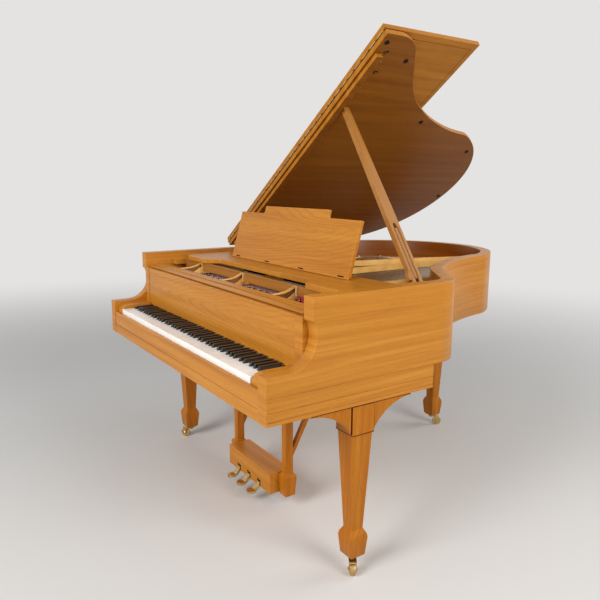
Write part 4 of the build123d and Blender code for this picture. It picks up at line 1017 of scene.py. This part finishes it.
# %% Groove in the prop
PROP_FACE, GROOVE_LOW, GROOVE_HIGH, HALF_GROOVE, GROOVE_LINE, LINE_PROUD = 10, 46, 242, 8.8, 1.8, 0.3
prop_foot = pivot("prop_fold")
prop_head = swing @ Vector((359.5, 700, LID_UNDER))
up = (prop_head - prop_foot).normalized()
out = Y.cross(up).normalized()
across = up.cross(out)
ends = [(GROOVE_HIGH, radians(t)) for t in range(0, 181, 15)]
ends += [(GROOVE_LOW, radians(t)) for t in range(180, 361, 15)]
groove = bmesh.new()
for side in (-out, out):
    face = prop_foot + side * PROP_FACE
    inner, outer = [
        [face + up * (end + radius * sin(t)) + across * radius * cos(t) for end, t in ends]
        for radius in (HALF_GROOVE, HALF_GROOVE + GROOVE_LINE)
    ]
    for i in range(len(ends)):
        slab(groove, [inner[i - 1], inner[i], outer[i], outer[i - 1]], side * LINE_PROUD)
fitting("prop_groove", groove, groove_shade, "prop_body")
print("prop leans along", [round(v, 3) for v in up])

# %% [markdown]
# Cheek and pin of the prop
#
# Near its foot the prop has a small raised cheek, and a slotted brass pin above that. Their places could be
# typed in, but both sit on the stick's front edge, which is found from the solid, so that they touch it.

# %% Cheek at the foot of the prop
HALF_CHEEK, CLEAR_OF_HUB, PIN_UP, PIN_HEAD = 9, 30, 84, 4
cheek_plan = [(34, -0.5), (34, 9), (62, 8), (74, -0.5)]
front = across if across.y < 0 else -across
spots = [p - prop_foot for p in separate("prop_stick")[0]]
prop_front = max(p.dot(front) for p in spots if p.dot(up) > CLEAR_OF_HUB)
cheek = bmesh.new()
plan = [prop_foot - out * HALF_CHEEK + up * a + front * (prop_front + b) for a, b in cheek_plan]
slab(cheek, plan, out * 2 * HALF_CHEEK)
fitting("prop_foot_cheek", cheek, prop_walnut, "prop_body", easing=1.0)
pin = bmesh.new()
screw(pin, prop_foot + up * PIN_UP + front * prop_front, front, PIN_HEAD)
fitting("prop_pin", pin, brass, "prop_body")
print("prop front at", round(prop_front, 1), "mm")

# %% [markdown]
# Joints at the top of the front legs
#
# Each front leg ends in a square block between two curved brackets, which are boards of their own, fixed
# under the base rail. A shadow shows in every joint, and widest beside the front bracket, where the leg has
# to slide in. The joints could be cut as gaps. Dark strips a quarter of a millimetre proud look the same.

# %% Leg joints
BLOCK_FRONT, BLOCK_BACK, BLOCK_FOOT, BRACKET_FOOT = 321, 411, 513, 520
BRACKET_START, BRACKET_END, BRACKET_INSET = 163, 569, 2
FRONT_GAP, BACK_GAP, RAIL_GAP, FOOT_GAP = 6.5, 1.5, 3, 2.5
leg_low, leg_high = corners("treble_front_leg")
block_face, rail_under = leg_high.x, leg_high.z
bracket_face = block_face - BRACKET_INSET
beside, behind = BLOCK_FRONT - FRONT_GAP, BLOCK_BACK + BACK_GAP
tall, under_rail = (BRACKET_FOOT, rail_under), (rail_under - RAIL_GAP, rail_under)
at_foot = (BLOCK_FOOT, BLOCK_FOOT + FOOT_GAP)
shadow_lines = (
    (bracket_face, (beside, BLOCK_FRONT), tall),
    (bracket_face, (BLOCK_BACK, behind), tall),
    (bracket_face, (BRACKET_START, beside), under_rail),
    (bracket_face, (behind, BRACKET_END), under_rail),
    (block_face, (BLOCK_FRONT, BLOCK_BACK), under_rail),
    (block_face, (BLOCK_FRONT, BLOCK_BACK), at_foot),
)
joint_lines = bmesh.new()
for side in (-1, 1):
    strips = [((face - SUNK, face + PROUD), depth, height) for face, depth, height in shadow_lines]
    strips.append(((leg_low.x, block_face), (BLOCK_FRONT - PROUD, BLOCK_FRONT + SUNK), at_foot))
    for width, (near, far), (low, high) in strips:
        left, right = sorted(side * x for x in width)
        block(joint_lines, (left, near, low), (right, far, high))
fitting("leg_joint_lines", joint_lines, groove_shade, "case")
print("shadow lines at each front leg:", len(strips))

# %% [markdown]
# Spade feet
#
# Each leg ends in a spade foot: a shoulder, four sides that lean in a little, and a short bevel. The solid's
# foot is slimmer and ends higher. It could be scaled up, but that would thicken the leg above it too. So a
# fuller foot is lofted round it from square rings, with a bore that the caster's stem turns in.

# %% Spade feet
# Half widths and heights, from the shoulder down the outside, under the foot and up the bore for the stem.
FOOT_RINGS = (
    (33.2, 147), (36.5, 132), (30.5, 66), (22, 57),
    (19.3, 57), (19.3, 78.5), (17, 78.5), (31, 145),
)
SQUARE = ((-1, -1), (1, -1), (1, 1), (-1, 1))
legs = {}
for name, leg in zip(("treble", "bass", "rear"), LEGS.split()):
    low, high = corners(leg)
    legs[name] = Vector(((low.x + high.x) / 2, (low.y + high.y) / 2, low.z))
feet = bmesh.new()
for base in legs.values():
    squares = []
    for half_width, height in FOOT_RINGS:
        spots = [(base.x + a * half_width, base.y + b * half_width, height) for a, b in SQUARE]
        squares.append([feet.verts.new(Vector(spot) * MM) for spot in spots])
    for i, square in enumerate(squares):
        before = squares[i - 1]
        for k in range(4):
            feet.faces.new((before[k - 1], before[k], square[k], square[k - 1]))
fitting("spade_feet", feet, leg_walnut, "case", easing=1.0)
print("feet:", len(legs))

# %% [markdown]
# Caster fittings
#
# The casters turn in brass sockets let into the feet, and each axle is closed with a domed nut on either
# side. The nuts could be placed by eye, but the joints of the solid model say where each axle lies and which
# way it points, so the nuts turn true.

# %% Caster sockets and axle nuts
SOCKET = [(0, 18.5), (2.0, 18.5), (3.4, 17), (3.4, 15.8)]
NUT = [(0, 6.5), (1.2, 6.5), (2.8, 4.5), (3.4, 2.0)]
NUT_FROM_HUB = 13.4
sockets = bmesh.new()
for name, base in legs.items():
    lathe(sockets, base, -Z, SOCKET, 28)
    axle = Vector(joints[f"{name}_wheel_roll"]["axis"]).normalized()
    nuts = bmesh.new()
    for way in (-axle, axle):
        lathe(nuts, pivot(f"{name}_wheel_roll") + way * NUT_FROM_HUB, way, NUT, 16)
    fitting(f"{name}_axle_nuts", nuts, brass, f"{name}_wheel")
fitting("caster_sockets", sockets, brass, "case")
print("casters fitted:", len(legs))

# %% [markdown]
# Camera
#
# The camera has the photograph's own viewpoint: at the treble side, a little above the rim, with a 37 mm
# lens. It could be aimed by eye, but its place, in metres, and its three angles, in radians, were fitted to
# the case, the keys and the lid.

# %% Place the camera
CAMERA_PLACE = (2.1803, -0.8478, 1.3082)
YAW, PITCH, ROLL = 0.984, -0.1853, 0.0031
camera = bpy.data.objects.new("camera", bpy.data.cameras.new("camera"))
camera.data.lens = 36.81
camera.data.sensor_width = 36.0
aim = Vector((-sin(YAW) * cos(PITCH), cos(YAW) * cos(PITCH), sin(PITCH)))
camera.location = CAMERA_PLACE
camera.rotation_mode = "QUATERNION"
camera.rotation_quaternion = aim.to_track_quat("-Z", "Y") @ Matrix.Rotation(ROLL, 4, "Z").to_quaternion()
bpy.context.scene.collection.objects.link(camera)
bpy.context.scene.camera = camera
print("camera at", tuple(round(v, 2) for v in camera.location), "m")

# %% [markdown]
# Floor
#
# A pale floor takes the shadow near the piano and turns into the backdrop further out. It could be a curved
# paper sweep, but then the other views would show its edge. So it is a flat sheet, with sizes in metres,
# whose material fades to the backdrop's own light with distance, for rays that see it and not for those that
# light the piano.

# %% Pale floor
BACKDROP = linear("#e4e3e1")
FLOOR_HALF, FADE_START, FADE_END = 14, 2.2, 7.0


def shown_rays(tree):
    """1 for rays that see a surface, straight or in a gloss, and 0 for those that carry its light."""
    ray = add(tree, "LightPath").outputs
    straight = {0: ray["Is Camera Ray"], 1: ray["Is Glossy Ray"]}
    shown = {0: add(tree, "Math", straight, operation="MAXIMUM"), 1: ray["Is Transmission Ray"]}
    return add(tree, "Math", shown, operation="MAXIMUM")


floor_mesh = bpy.data.meshes.new("floor")
floor_mesh.from_pydata([(a * FLOOR_HALF, b * FLOOR_HALF, 0) for a, b in SQUARE], [], [(0, 1, 2, 3)])
floor = bpy.data.objects.new("floor", floor_mesh)
bpy.context.scene.collection.objects.link(floor)
floor_material, tree, shader = new_material("floor_pale")
patch = add(tree, "TexNoise", {"Scale": 3.0, "Detail": 2.0})
paint = add(tree, "ValToRGB", {"Fac": patch}, [(0.3, "#d9d8d5"), (0.7, "#dedddb")])
feed(tree, shader, {"Base Color": paint, "Roughness": 0.7})
where = add(tree, "NewGeometry").outputs["Position"]
away = {"Value": add(tree, "VectorMath", {0: where}, operation="LENGTH")}
away["From Min"], away["From Max"] = FADE_START, FADE_END
far = add(tree, "MapRange", away, interpolation_type="SMOOTHSTEP")
fade = add(tree, "Math", {0: far, 1: shown_rays(tree)}, operation="MULTIPLY")
glow = add(tree, "Emission", {"Color": BACKDROP, "Strength": 1.0})
both = add(tree, "MixShader", {0: fade, 1: shader, 2: glow})
feed(tree, tree.nodes["Material Output"], {"Surface": both})
floor_mesh.materials.append(floor_material)
print("floor:", 2 * FLOOR_HALF, "m wide")

# %% [markdown]
# Light
#
# One large soft lamp from the front, one from the treble side and a weak one from behind light the wood
# evenly, as in a studio, and a dim grey sky fills the shadows. Small lamps would show every pore, but would
# also leave hard edges in the shade. The sky that is seen has the backdrop's colour and lights nothing.

# %% Lamps and sky
def lamp(name, place, target, size, power):
    """Round lamp of a size in metres and a power in watts, aimed at a point."""
    light = bpy.data.lights.new(name, "AREA")
    light.shape = "DISK"
    light.size = size
    light.energy = power
    holder = bpy.data.objects.new(name, light)
    holder.location = place
    holder.rotation_mode = "QUATERNION"
    holder.rotation_quaternion = (Vector(target) - Vector(place)).to_track_quat("-Z", "Y")
    bpy.context.scene.collection.objects.link(holder)


lamp("key_lamp", (1.2, -4.1, 3.0), (0, 0.6, 0.8), 2.6, 212)
lamp("side_lamp", (4.2, 1.2, 2.5), (0, 0.9, 0.9), 2.4, 105)
lamp("back_lamp", (1.6, 5.4, 3.8), (0, 0.9, 1.2), 3.2, 75)
world = bpy.data.worlds.new("studio")
bpy.context.scene.world = world
world.use_nodes = True
tree = world.node_tree
sky = tree.nodes["Background"]
feed(tree, sky, {"Color": linear("#d8d8da"), "Strength": 0.42})
backdrop = add(tree, "Background", {"Color": BACKDROP, "Strength": 1.0})
view = add(tree, "MixShader", {0: shown_rays(tree), 1: sky, 2: backdrop})
feed(tree, tree.nodes["World Output"], {"Surface": view})
bpy.context.scene.view_settings.view_transform = "Standard"
print("lamps:", len(bpy.data.lights))
